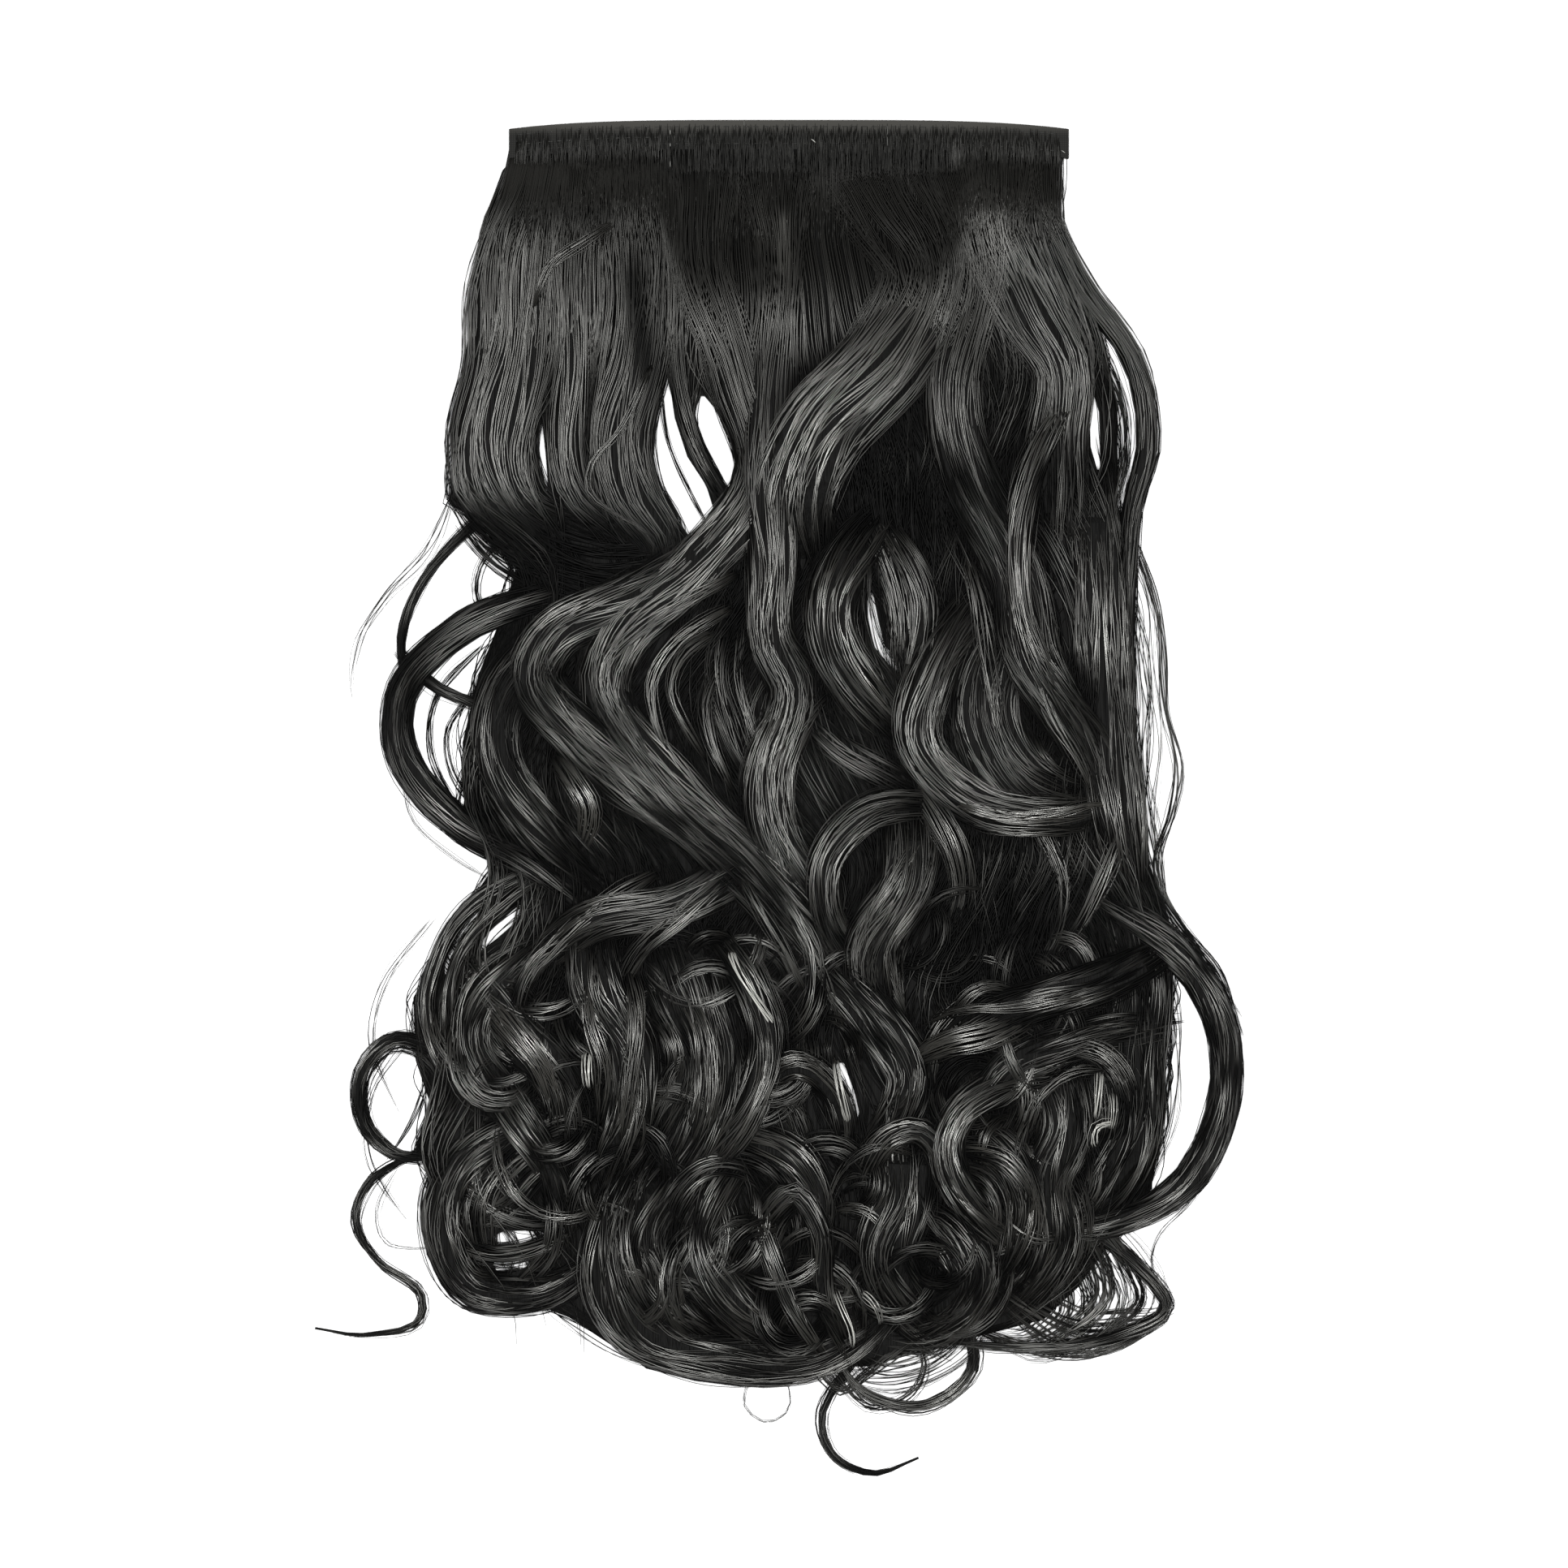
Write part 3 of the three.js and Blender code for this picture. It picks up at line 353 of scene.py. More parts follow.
# Sections of the hair from the weft to the ends: distance down, left and right edge, height under the locks
SECTIONS = (
    (-4, -122, 122, 4), (6, -124, 122.5, 4), (10, -128, 122, 4), (22, -132, 120.5, 5), (42, -138, 121, 7),
    (62, -141, 130, 9), (90, -142, 141, 8), (119, -145, 147, 8), (148, -151, 147, 8), (163, -152, 147, 7),
    (173, -134, 150, 7), (192, -122, 149, 8), (212, -128, 150, 8), (240, -139, 151, 8), (270, -146, 153, 8),
    (300, -145, 156, 8), (324, -131, 161, 8), (352, -150, 171, 8), (384, -168, 172, 8), (412, -167, 169, 8),
    (430, -161, 168, 8), (452, -167, 165, 8), (470, -158, 162, 8), (495, -148, 143, 7), (514, -132, 129, 7),
    (528, -96, 114, 6), (539, -80, 72, 6), (549, -52, 36, 5),
)
# Openings where the surface shows through: (middle, down, width) at each row
OPENINGS = (
    ((-54, 107, 0.8), (-55, 125, 8), (-53, 142, 15), (-47.5, 155, 21), (-42, 168, 18), (-42.5, 178, 4)),
    ((-38.5, 115, 1.5), (-37.5, 120, 8), (-35.5, 130, 14), (-32, 140, 15), (-28.5, 150, 10),
        (-25.5, 158, 3)),
    ((-111, 126, 1.5), (-111, 140, 4.5), (-110.5, 152, 5.5), (-109.5, 163, 2.5)),
    ((36, 200, 2), (37.5, 214, 4.5), (40.5, 227, 5), (48, 235, 7), (53, 241, 2)),
    ((23, 413, 3), (25, 424, 7), (28, 434, 8), (29, 440, 2)),
    ((-119, 488, 16), (-120, 491, 25), (-124, 494, 12)),
    ((-122, 500, 14), (-123, 503, 19), (-127, 507, 7)),
    ((135, 112, 1.5), (136.5, 122, 4.5), (137, 138, 4.5), (138.5, 148, 1.5)),
    ((-119, 342, 2), (-124.5, 349, 7), (-132, 356, 7), (-138.5, 363, 2)),
    ((-134, 338, 2), (-141, 346, 6), (-147.5, 355, 6), (-151.5, 366, 5), (-153, 374, 2)),
)
# Where the waves face up and shine, and where they turn down into shade: (across, down) at both ends of a
# zone, its reach to each side, and how much more or less it shines
SHEEN = (
    (-118, -5, 118, -5, 3, 0.12), (-118, 3, 118, 3, 6, -0.07), (-50, 11, 66, 11, 8, -0.2),
    (-118, 8, -66, 8, 4, -0.1), (80, 8, 118, 8, 4, -0.08), (-125, 16, -95, 14, 8, 0.06),
    (-125, 35, -85, 35, 7, -0.14), (-40, 46, 60, 46, 20, -0.12), (-122, 60, -130, 145, 16, 0.17),
    (-90, 75, -85, 145, 16, 0.15), (-70, 60, -64, 105, 5, -0.25), (-40, 84, -20, 112, 9, 0.08),
    (-3, 38, -1.5, 60, 3.5, 0.5), (-13, 30, -12, 46, 3, 0.25), (-8, 80, 2, 94, 11, 0.1),
    (58, 80, 8, 135, 13, 0.34), (78, 82, 66, 108, 6, 0.08), (88, 36, 112, 76, 9, 0.2),
    (112, 78, 132, 104, 8, 0.1), (30, 162, 75, 162, 19, -0.3), (112, 150, 140, 145, 14, -0.2),
    (-8, 150, -8, 225, 8, 0.1), (-140, 172, -70, 182, 11, -0.35), (-35, 200, -105, 215, 9, 0.15),
    (-125, 250, -112, 268, 14, -0.3), (-108, 245, -55, 300, 5, 0.06), (-95, 288, -88, 310, 6, 0.35),
    (-100, 325, -60, 322, 14, -0.3), (-24, 205, -22, 235, 5, -0.25), (16, 205, 44, 252, 8, 0.4),
    (66, 275, 88, 290, 11, 0.18), (105, 304, 148, 298, 4, 0.4), (-12, 262, 0, 315, 11, 0.25),
    (128, 246, 136, 252, 10, -0.25), (118, 226, 140, 228, 5, 0.2), (75, 355, 135, 350, 18, -0.3),
    (-80, 364, -50, 368, 9, -0.3), (70, 402, 90, 396, 5, 0.3), (112, 386, 134, 385, 4, 0.4),
    (-126, 398, -108, 412, 5, 0.4), (-84, 382, -72, 440, 7, 0.25), (-30, 366, -12, 404, 7, -0.2),
    (-10, 402, -38, 462, 5, 0.25), (-100, 455, -40, 462, 13, -0.25), (45, 500, 85, 508, 15, -0.25),
    (110, 480, 127, 478, 5, 0.3), (75, 435, 72, 460, 5, 0.3), (42, 446, 62, 446, 4, 0.1),
    (-124, 209, -170, 236, 12, -0.28), (-172, 240, -173, 260, 13, -0.25), (-173, 262, -130, 318, 13, -0.25),
    (184, 376, 196, 430, 12, -0.2), (192, 440, 150, 484, 12, -0.1), (-158, 465, -150, 505, 12, -0.15),
    (-140, 515, -90, 520, 9, -0.15), (-70, 538, 20, 548, 8, 0.05), (150, 190, 155, 340, 8, -0.1),
    (112, 184, 146, 226, 14, 0.2), (92, 86, 138, 126, 12, 0.06), (-120, 193, -86, 196, 8, -0.35),
    (-138, 468, -124, 463, 5, 0.5), (-150, 488, -148, 478, 4, 0.4), (-90, 498, -76, 496, 4, 0.35),
    (25, 518, 28, 534, 4, 0.6), (40, 512, 48, 520, 4, 0.3), (98, 490, 112, 478, 6, 0.35),
    (80, 522, 82, 530, 4, 0.4), (138, 424, 141, 440, 4, 0.6), (44, 450, 48, 458, 4, 0.3),
    (104, 310, 146, 326, 9, 0.14), (158, 392, 156, 460, 9, -0.22), (-178, 403, -191, 430, 9, -0.3),
    (-190, 440, -172, 456, 9, -0.3), (14, 572, 40, 598, 9, -0.3), (-180, 462, -192, 490, 9, -0.3),
    (-180, 505, -190, 535, 12, -0.3), (98, 391, 104, 389, 6, -0.3), (138, 378, 148, 375, 5, -0.22),
    (30, 480, 70, 476, 8, 0.15), (-60, 488, -36, 484, 10, -0.25), (-112, 468, -110, 490, 8, -0.18),
    (128, 405, 134, 440, 9, -0.12), (-45, 306, -12, 338, 12, -0.26), (36, 386, 44, 398, 9, -0.22),
    (-20, 446, 0, 440, 6, 0.2),
)

# Stitches that show on the band: (across, down) at both ends, how pale the thread is and how high its hump
STITCHES = (
    (-53, -4, -53, -1.5, 0.6, 1.3), (-53, 2, -53, 4, 0.5, 1.3), (-53, 10, -53, 13, 0.4, 1.3),
    (9.8, 0.4, 12, 2.2, 1, 1.5), (44, -6, 44, -1, 0.15, 1.2), (44, -1, 44, 4, 0.15, 1.2),
    (121.5, 2, 123.4, 3, 0.6, 1.2), (-20, -8, -20, -5, 0.2, 0.6),
)
# Seams along the band: distance down, from and to across, stitch length, gap, how pale the thread is and
# how high its hump
SEAMS = (
    (-5, -122, 122, 3.4, 1.0, 0.02, 0.45), (-0.5, -122, -54, 3.4, 1.0, 0.05, 0.45),
    (2.5, -122, 122, 3.4, 1.0, 0.02, 0.45),
)

# Lengths below are in millimetres. Tones run from 0 in shade to 1 in full light, and on to 2 in a fleck.
MOST_TONE = 2

# Half the length of the weft, how far its ends sag, and where and over what span the hair loses that sag
WEFT_HALF, END_DROP, SAG_FROM, SAG_SPAN = 125, 4, 10, 32
# Top of the band, how far down its slot ends, and how high locks and falling hair lie in the slot
BAND_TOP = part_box("weft_band")[1][2] / MM
SLOT_DOWN, LOCK_SLOT_UP, FALL_SLOT_UP = 6, 5.6, 5.2
# The middle of the weft, where the hair rises later and higher: from, to, and how softly it begins
MIDDLE_LEFT, MIDDLE_RIGHT, MIDDLE_BLEND = -62, 82, 20
# Height of the hair at the weft, where it rises, over what span and how far, and what the middle adds
ROOT_UP, RISE_FROM, RISE_SPAN, RISE = 6.4, 7, 24, 8
MIDDLE_FROM, MIDDLE_SPAN, MIDDLE_RISE = 6, 38, 2
# Where the hair sinks again, over what span and how far
SINK_FROM, SINK_SPAN, SINK = 78, 70, 9

# Height of a strand for its width, pressed flat like a ribbon
FLATNESS = 0.5
# How much hair shines where no zone of sheen or shade reaches
SHINE = 0.32
# How far a lock runs on past a hidden end, what share of its width comes on top, how high it lies there,
# and its sharpest turn
RUN_ON, RUN_ON_SHARE, HIDDEN_UP, MOST_TURN = 4, 0.6, 6.5, 0.8
# Place along y and height of a lock's first two bends, in the weft and below it
WEFT_START, WEFT_BEND = (-3, 5), (-26, 8)
# Points of a middle line for each bend, and the bends over which a lock from the weft finds its width
LINE_POINTS, WEFT_BENDS = 30, 2.6
# Share of its width that a lock keeps at its tip, and the thickness up to which it is flat with a finer tip
TIP_WIDE, FLAT_THICK, FLAT_TIP_WIDE = 0.7, 4, 0.3
# Width of a clump of strands, spacing of strays, and how far strays lie outside a lock
CLUMP_WIDE, STRAY_SPACING, STRAY_OUT = 4.5, 5, 4
# Fewest strands and strays of a lock, and fewest pieces of a strand
FEWEST_STRANDS, FEWEST_STRAYS, FEWEST_STEPS = 3, 2, 8
# How far strands are staggered at a hidden end, for what runs on there, and at a loose tip, for the length
HIDDEN_STAGGER, TIP_STAGGER = 1.1, 0.3
# Greatest heights: the ridge of a clump, and how far locks, clumps and curly clumps bob and strands lift
RIDGE, LOCK_BOB, CLUMP_BOB, CURLY_BOB, STRAND_LIFT = 0.4, 1.2, 0.9, 0.8, 0.15
# Radius beside the set one, from and to: strands, hairs at the roots and edges, and then strays
STRAND_RADII, ROOT_RADII, EDGE_RADII, STRAY_RADIUS = (0.8, 1.1), (0.7, 1), (0.4, 0.6), 0.45
# Runs over which a lock from the weft loosens, gathers into clumps and grows wild
LOOSE_RUN, GATHER_RUN, WILD_RUN = 50, 60, 70
# Where a lock rises out of the hair at the weft, and over what span
LEAVE_FROM, LEAVE_SPAN = 8, 40
# Where the hair turns curly, and over what span
CURLY_FROM, CURLY_SPAN = 320, 70
# Wave lengths of strands that stray and lift, clumps that swing and bob, whole locks that bob, and tones
STRAY_WAVES, LIFT_WAVES, SWING_WAVES = (120, 50), (80, 45), (150, 80)
BOB_WAVES, LOCK_WAVES, TONE_WAVES = (75, 50), (80,), (75, 45)
# The same where the hair is curly: swing, bob and tone of a clump
CURLY_SWING_WAVES, CURLY_BOB_WAVES, CURLY_TONE_WAVES = (80, 50), (48, 34), (42, 28)
# How far tones differ at random between clumps, between strands and along a clump, and how much painted
# sheen curly hair adds, on the whole and in short spots of painted sheen and shade along its curls
CLUMP_TONE, STRAND_TONE, WAVE_TONE, CURLY_TONE, CURLY_WAVE_TONE = 0.16, 0.05, 0.16, 0.06, 0.34

# Long falls of hair bend slowly, so their pieces are longer
LONG_STEP = 1.5
# A layer of falling hair: its strands, families that swing together, where strands begin and where they end
LAYER_STRANDS, FAMILIES, FALL_BEGIN, FALL_ENDS = 230, 24, 2, (400, 545)
# Where falling hair starts to swing, over what span, how far to each side, and the length of a swing
SWING_FROM, SWING_SPAN, SWING_WIDE, SWING_LENGTH = 60, 80, (10, 17), 165
# How far the swing of each family is ahead of the one before, in swings
PHASE_STEPS = (-0.12, 0.16)
# How far families, strands and frayed edges stray to the side, and the width of a family beside its row
FAMILY_SWAY, STRAND_SWAY, FRAY, FAMILY_WIDE = 3, 1.5, 1.5, 1.25
# Heights: falling hair over the solid hair, a family's crown, how far it bobs and lifts, and a strand lifts
FALL_OVER, FAMILY_CROWN, FAMILY_BOB, FAMILY_LIFTS, FALL_LIFT = 0.8, 2.5, 2.2, (0, 2), 0.15
# How tones differ between families and between strands of falling hair
FAMILY_TONES, FALL_TONE = (-0.12, 0.08), 0.04
# Wave lengths of a family, of a strand in it, and of the fray at the edges
FAMILY_WAVES, FALL_WAVES, FRAY_WAVES = (90, 60), (150, 80), (60, 35)
# How far inside the edges falling hair keeps at most, how far from an opening it parts, and the width there
# of the parting, below zero because strands may cross
FALL_INSET, PART_REACH, PART_CLOSED = 6, 25, -40
# How far from the edge of an opening strands keep, and what some of them add
PART_MARGIN, PART_SPREAD = 1, 4

# Small curls: how often one is tried, where its middle lies, and how far up and down all of it may reach
CURL_TRIES, CURL_DOWN, CURL_LIMITS = 185, (345, 540), (335, 540)
# Radius and width of a curl, how far it turns, its height and how far it rises
CURL_RADIUS, CURL_WIDE, CURL_TURN, CURL_UP, CURL_RISE = (12, 32), (4, 12), (1.8, 3.6), 7, (3, 8)
# Points in a curl, its thickness, how far it keeps from an opening beside half its width, and its tone
CURL_POINTS, CURL_THICK, CURL_MARGIN, CURL_TONE = 6, 6, 2, 0.2
# Short hairs at the roots: how many, points in each, where along the weft they stand and how far they lean
ROOT_STRANDS, ROOT_POINTS, ROOT_PLACES, ROOT_LEAN = 1150, 9, (-WEFT_HALF + 3, WEFT_HALF - 4), 3
# Where they begin and end, how high they lie over the band and over the hair, and what some of them add
ROOT_BEGINS, ROOT_ENDS, OVER_BAND, OVER_HAIR, ROOT_LIFT = (-6.5, 1), (20, 48), 0.1, 0.6, 0.4
# Where they come down from the band, over what span and how far
STEP_FROM, STEP_SPAN, STEP_DOWN = 5, 12, 1.2
# Single hairs along the edges: how many, points in each, where they begin, their lengths and their waves
EDGE_STRANDS, EDGE_POINTS, EDGE_BEGINS, EDGE_LONG, EDGE_WAVES = 110, 25, (20, 430), (60, 150), (70, 40)
# How far outside the edge they lie, how far they wander, and how far their ends tuck in
EDGE_OUT, EDGE_WANDER, EDGE_TUCK = (-3, 2), 3, 7
# Their height on the edge, how fast it falls outwards, and its limits
EDGE_UP, EDGE_SLOPE, EDGE_HEIGHTS = 6, 1.2, (0.8, 8)
# Points in a stitch, and how deep its ends sink into the band
STITCH_POINTS, STITCH_SINK = 7, 0.2

# The map of hollows, for painted shade low in the hair and painted highlight where it stands proud: side of
# a cell, margin, reach of the blur, depth that counts in full, its share of the shine, and where down the
# hair it sets in and over what span
HOLLOW_CELL, HOLLOW_MARGIN, HOLLOW_REACH, HOLLOW_DEPTH, HOLLOW_SHARE = 2, 20, 7, 3.5, 0.42
HOLLOW_FROM, HOLLOW_SPAN = 40, 80

# Grain of each pattern, in metres. Hairs are really 0.08 mm wide, the tape's threads 0.3 mm apart and the
# paint's orange peel 0.4 mm, too fine to show in the render, so they are drawn coarser.
STREAK_WIDE, STREAK_LONG, WEAVE_PITCH, PEEL_GRAIN = 1.1 * MM, 56 * MM, 1.0 * MM, 1.1 * MM
# Depth of each pattern, and where along y the tape starts to grow lighter towards its top edge and is
# lightest, in metres
STREAK_DEEP, WEAVE_DEEP, PEEL_DEEP, TOP_EDGE_FROM, TOP_EDGE_TO = 0.8 * MM, 0.2 * MM, 0.2 * MM, 0.5 * MM, 7 * MM
# Length over which a wave texture of scale 1 repeats
WAVE_LENGTH = math.pi / 10

# Middle of the picture and of the light over it, side and middle of the white card, in metres
PICTURE_X, PICTURE_Y, CARD_SIDE, CARD_Y = -0.0022, -0.2885, 12.0, -0.3
# Strength of the light all round, and width of the camera's sensor as Blender counts it
FILL, SENSOR = 0.08, 36


def linear(code):
    """sRGB hex text to linear RGBA."""
    parts = [int(code[i : i + 2], 16) / 255 for i in (0, 2, 4)]
    return (*(p / 12.92 if p <= 0.04045 else ((p + 0.055) / 1.055) ** 2.4 for p in parts), 1.0)


def colour(name, code, description):
    """A colour that the user can change."""
    return FloatVectorProperty(
        name=name, description=description, default=linear(code), size=4, min=0.0, max=1.0, subtype="COLOR",
    )


class ColourSettings(bpy.types.PropertyGroup):
    """Colours of the fibre, tape, thread, paint and surface."""

    fibre_shade: colour("Fibre in shade", "0b0b0b", "Strands that turn away from the light")
    fibre_sheen: colour("Fibre in the light", "302f2c", "Strands that face the light")
    fibre_glint: colour("Flecks", "b8b8b2", "Short strands that catch the light in full")
    mass_shade: colour("Deep hair", "020202", "Hair deep in the pile")
    mass_streak: colour("Streaks in deep hair", "121211", "Faint streaks along the hair deep in the pile")
    tape: colour("Tape", "1c1c1b", "Woven tape of the weft band")
    # The tape grows lighter towards its top edge, up to this colour
    tape_top_edge: colour("Worn tape", "3a3936", "Top edge of the tape, where it is rubbed")
    thread_dark: colour("Dark thread", "1c1c1a", "Stitches that blend in with the tape")
    thread_pale: colour("Pale thread", "b4b4ae", "Stitches that stand out on the tape")
    paint_low: colour("Paint", "0e0e0f", "Hollows of the paint on the clips")
    paint_high: colour("Paint grain", "1a1a1b", "Grain of the paint on the clips")
    surface: colour("Surface", "f4f4f4", "White card that the extension lies on")


class HairSettings(bpy.types.PropertyGroup):
    """How finely the hair is laid."""

    spacing: FloatProperty(
        name="Strand spacing", description="Distance between strands across a lock",
        default=0.00056, min=0.0002, max=0.005, precision=5, unit="LENGTH",
    )
    radius: FloatProperty(
        name="Strand radius", description="Radius of a strand at its thickest",
        default=0.00044, min=0.00005, max=0.002, precision=5, unit="LENGTH",
    )
    step: FloatProperty(
        name="Step", description="Length of each straight piece of a strand",
        default=0.006, min=0.001, max=0.05, precision=4, unit="LENGTH",
    )
    wander: FloatProperty(
        name="Wander", description="How far a strand strays sideways in its lock",
        default=0.0011, min=0.0, max=0.02, precision=4, unit="LENGTH",
    )
    thread: FloatProperty(
        name="Thread radius", description="Radius of the sewing thread on the band",
        default=0.00026, min=0.00005, max=0.002, precision=5, unit="LENGTH",
    )
    seed: IntProperty(name="Seed", description="Picks one fall of the strands", default=11, min=0)


class StageSettings(bpy.types.PropertyGroup):
    """Light, surface and camera."""

    softbox: FloatProperty(
        name="Softbox side", description="Side of the square light overhead",
        default=0.9, min=0.1, max=10.0, unit="LENGTH",
    )
    softbox_height: FloatProperty(
        name="Softbox height", description="Height of the overhead light",
        default=3.2, min=0.5, max=10.0, unit="LENGTH",
    )
    power: FloatProperty(
        name="Softbox power", description="Power of the overhead light",
        default=170.0, min=0.0, unit="POWER",
    )
    camera_height: FloatProperty(
        name="Camera height", description="Height of the camera over the surface",
        default=2.8, min=0.5, max=10.0, unit="LENGTH",
    )
    picture: FloatProperty(
        name="Picture side", description="Side of the square of surface that the camera sees",
        default=0.702, min=0.1, max=5.0, unit="LENGTH",
    )


def smooth(x):
    """Eases from 0 to 1 as x goes from 0 to 1."""
    x = np.clip(x, 0, 1)
    return x * x * (3 - 2 * x)


def spline(points, q):
    """Centripetal Catmull-Rom curve through points, at q bends from the first."""
    p = np.vstack([2 * points[0] - points[1], points, 2 * points[-1] - points[-2]])
    i = np.clip(q.astype(int), 0, len(points) - 2)
    w = (q - i)[:, None]
    a, b, c, d = (p[i + k] for k in range(4))
    spans = ((a, b), (b, c), (c, d))
    ab, bc, cd = (np.sqrt(np.linalg.norm(y - x, axis=1, keepdims=True)) for x, y in spans)
    into = c - b + bc * ((b - a) / ab - (c - a) / (ab + bc))
    out = c - b + bc * ((d - c) / cd - (d - b) / (bc + cd))
    return b + into * w + (3 * (c - b) - 2 * into - out) * w**2 + (2 * (b - c) + into + out) * w**3


def section(down):
    """Left edge, right edge and height of the hair at a distance down from the weft."""
    down_at, *columns = np.array(SECTIONS, float).T
    return [np.interp(down, down_at, column) for column in columns]


def end_drop(x):
    """How far the weft sags towards its ends."""
    return -END_DROP * np.minimum(np.abs(x) / WEFT_HALF, 1.2) ** 4


def sagged(x, down):
    """Place along y of hair that sags with the weft and loses the sag further down."""
    return end_drop(x) * (1 - smooth((down - SAG_FROM) / SAG_SPAN)) - down


def curtain_top(x, down):
    """Height of the hair as it rises from the weft, later in its middle than at its sides, and sinks."""
    middle = smooth((x - MIDDLE_LEFT) / MIDDLE_BLEND) * smooth((MIDDLE_RIGHT - x) / MIDDLE_BLEND)
    rise = smooth((down - RISE_FROM - MIDDLE_FROM * middle) / (RISE_SPAN + MIDDLE_SPAN * middle))
    return ROOT_UP + (RISE + MIDDLE_RISE * middle) * rise - SINK * smooth((down - SINK_FROM) / SINK_SPAN)


def shine(x, down):
    """How much the hair shines at each point, from the zones of sheen and shade."""
    total = np.full(x.shape, SHINE)
    for x0, down0, x1, down1, reach, level in SHEEN:
        run = np.array([x1 - x0, down1 - down0])
        share = np.clip(((x - x0) * run[0] + (down - down0) * run[1]) / (run @ run), 0, 1)
        gap = np.hypot(x - x0 - share * run[0], down - down0 - share * run[1])
        total += level * np.exp(-((gap / reach) ** 2))
    return total


def run_on(points, reach, up):
    """The point that carries a route on past its last bend, still turning the way it turned."""
    before, last = points[-2, :2] - points[-3, :2], points[-1, :2] - points[-2, :2]
    turn = math.atan2(before[0] * last[1] - before[1] * last[0], before @ last)
    turn = np.clip(turn * reach / np.linalg.norm(last), -MOST_TURN, MOST_TURN)
    ahead = last / np.linalg.norm(last) * reach
    x = ahead[0] * math.cos(turn) - ahead[1] * math.sin(turn)
    return points[-1, 0] + x, points[-1, 1] + ahead[0] * math.sin(turn) + ahead[1] * math.cos(turn), up


def lock_reach(lock):
    """How far a lock runs on under its neighbours past a hidden end."""
    return RUN_ON + RUN_ON_SHARE * lock.wide


def lock_line(lock):
    """Lengths along a lock's middle line, and x, y, z, side x, side y, half width, half thickness there."""
    route = np.array(lock.route, float) * (1, -1, 1)
    points = [route]
    if lock.weft:
        middle = sum(lock.weft) / 2
        points.insert(0, [(middle, *WEFT_START), (0.6 * middle + 0.4 * route[0, 0], *WEFT_BEND)])
    elif "root" not in lock.free:
        points.insert(0, [run_on(route[::-1], lock_reach(lock), min(HIDDEN_UP, route[0, 2]))])
    if "tip" not in lock.free:
        points.append([run_on(route, lock_reach(lock), min(HIDDEN_UP, route[-1, 2]))])
    points = np.vstack(points)
    q = np.linspace(0, len(points) - 1, LINE_POINTS * (len(points) - 1) + 1)
    line = spline(points, q)
    length = np.concatenate([[0], np.cumsum(np.linalg.norm(np.diff(line, axis=0), axis=1))])
    share = length / length[-1]
    rise, fall = smooth(share / 0.25), smooth((1 - share) / 0.3)
    tip = TIP_WIDE if lock.thick > FLAT_THICK else FLAT_TIP_WIDE
    half = lock.wide / 2 * (1 - (1 - tip) * 0.7 * (1 - rise)) * (tip + (1 - tip) * fall)
    thick = lock.thick / 2 * (0.2 + 0.8 * fall) * (1 if lock.weft else 0.2 + 0.8 * rise)
    if lock.weft:
        half = half + ((lock.weft[1] - lock.weft[0]) / 2 - half) * (1 - smooth(q / WEFT_BENDS))
    along = np.gradient(line[:, :2], axis=0)
    along /= np.linalg.norm(along, axis=1, keepdims=True)
    return length, np.column_stack([line, -along[:, 1], along[:, 0], half, thick])


def waves(rng, rows, run, lengths):
    """Smooth random waves from -1 to 1, one row for each strand, along run in millimetres."""
    total = np.zeros((rows, run.shape[-1]))
    for wave in lengths:
        pitch = wave * rng.uniform(0.75, 1.3, (rows, 1))
        total += np.sin(2 * np.pi * (run / pitch + rng.uniform(0, 1, (rows, 1))))
    return total / len(lengths)


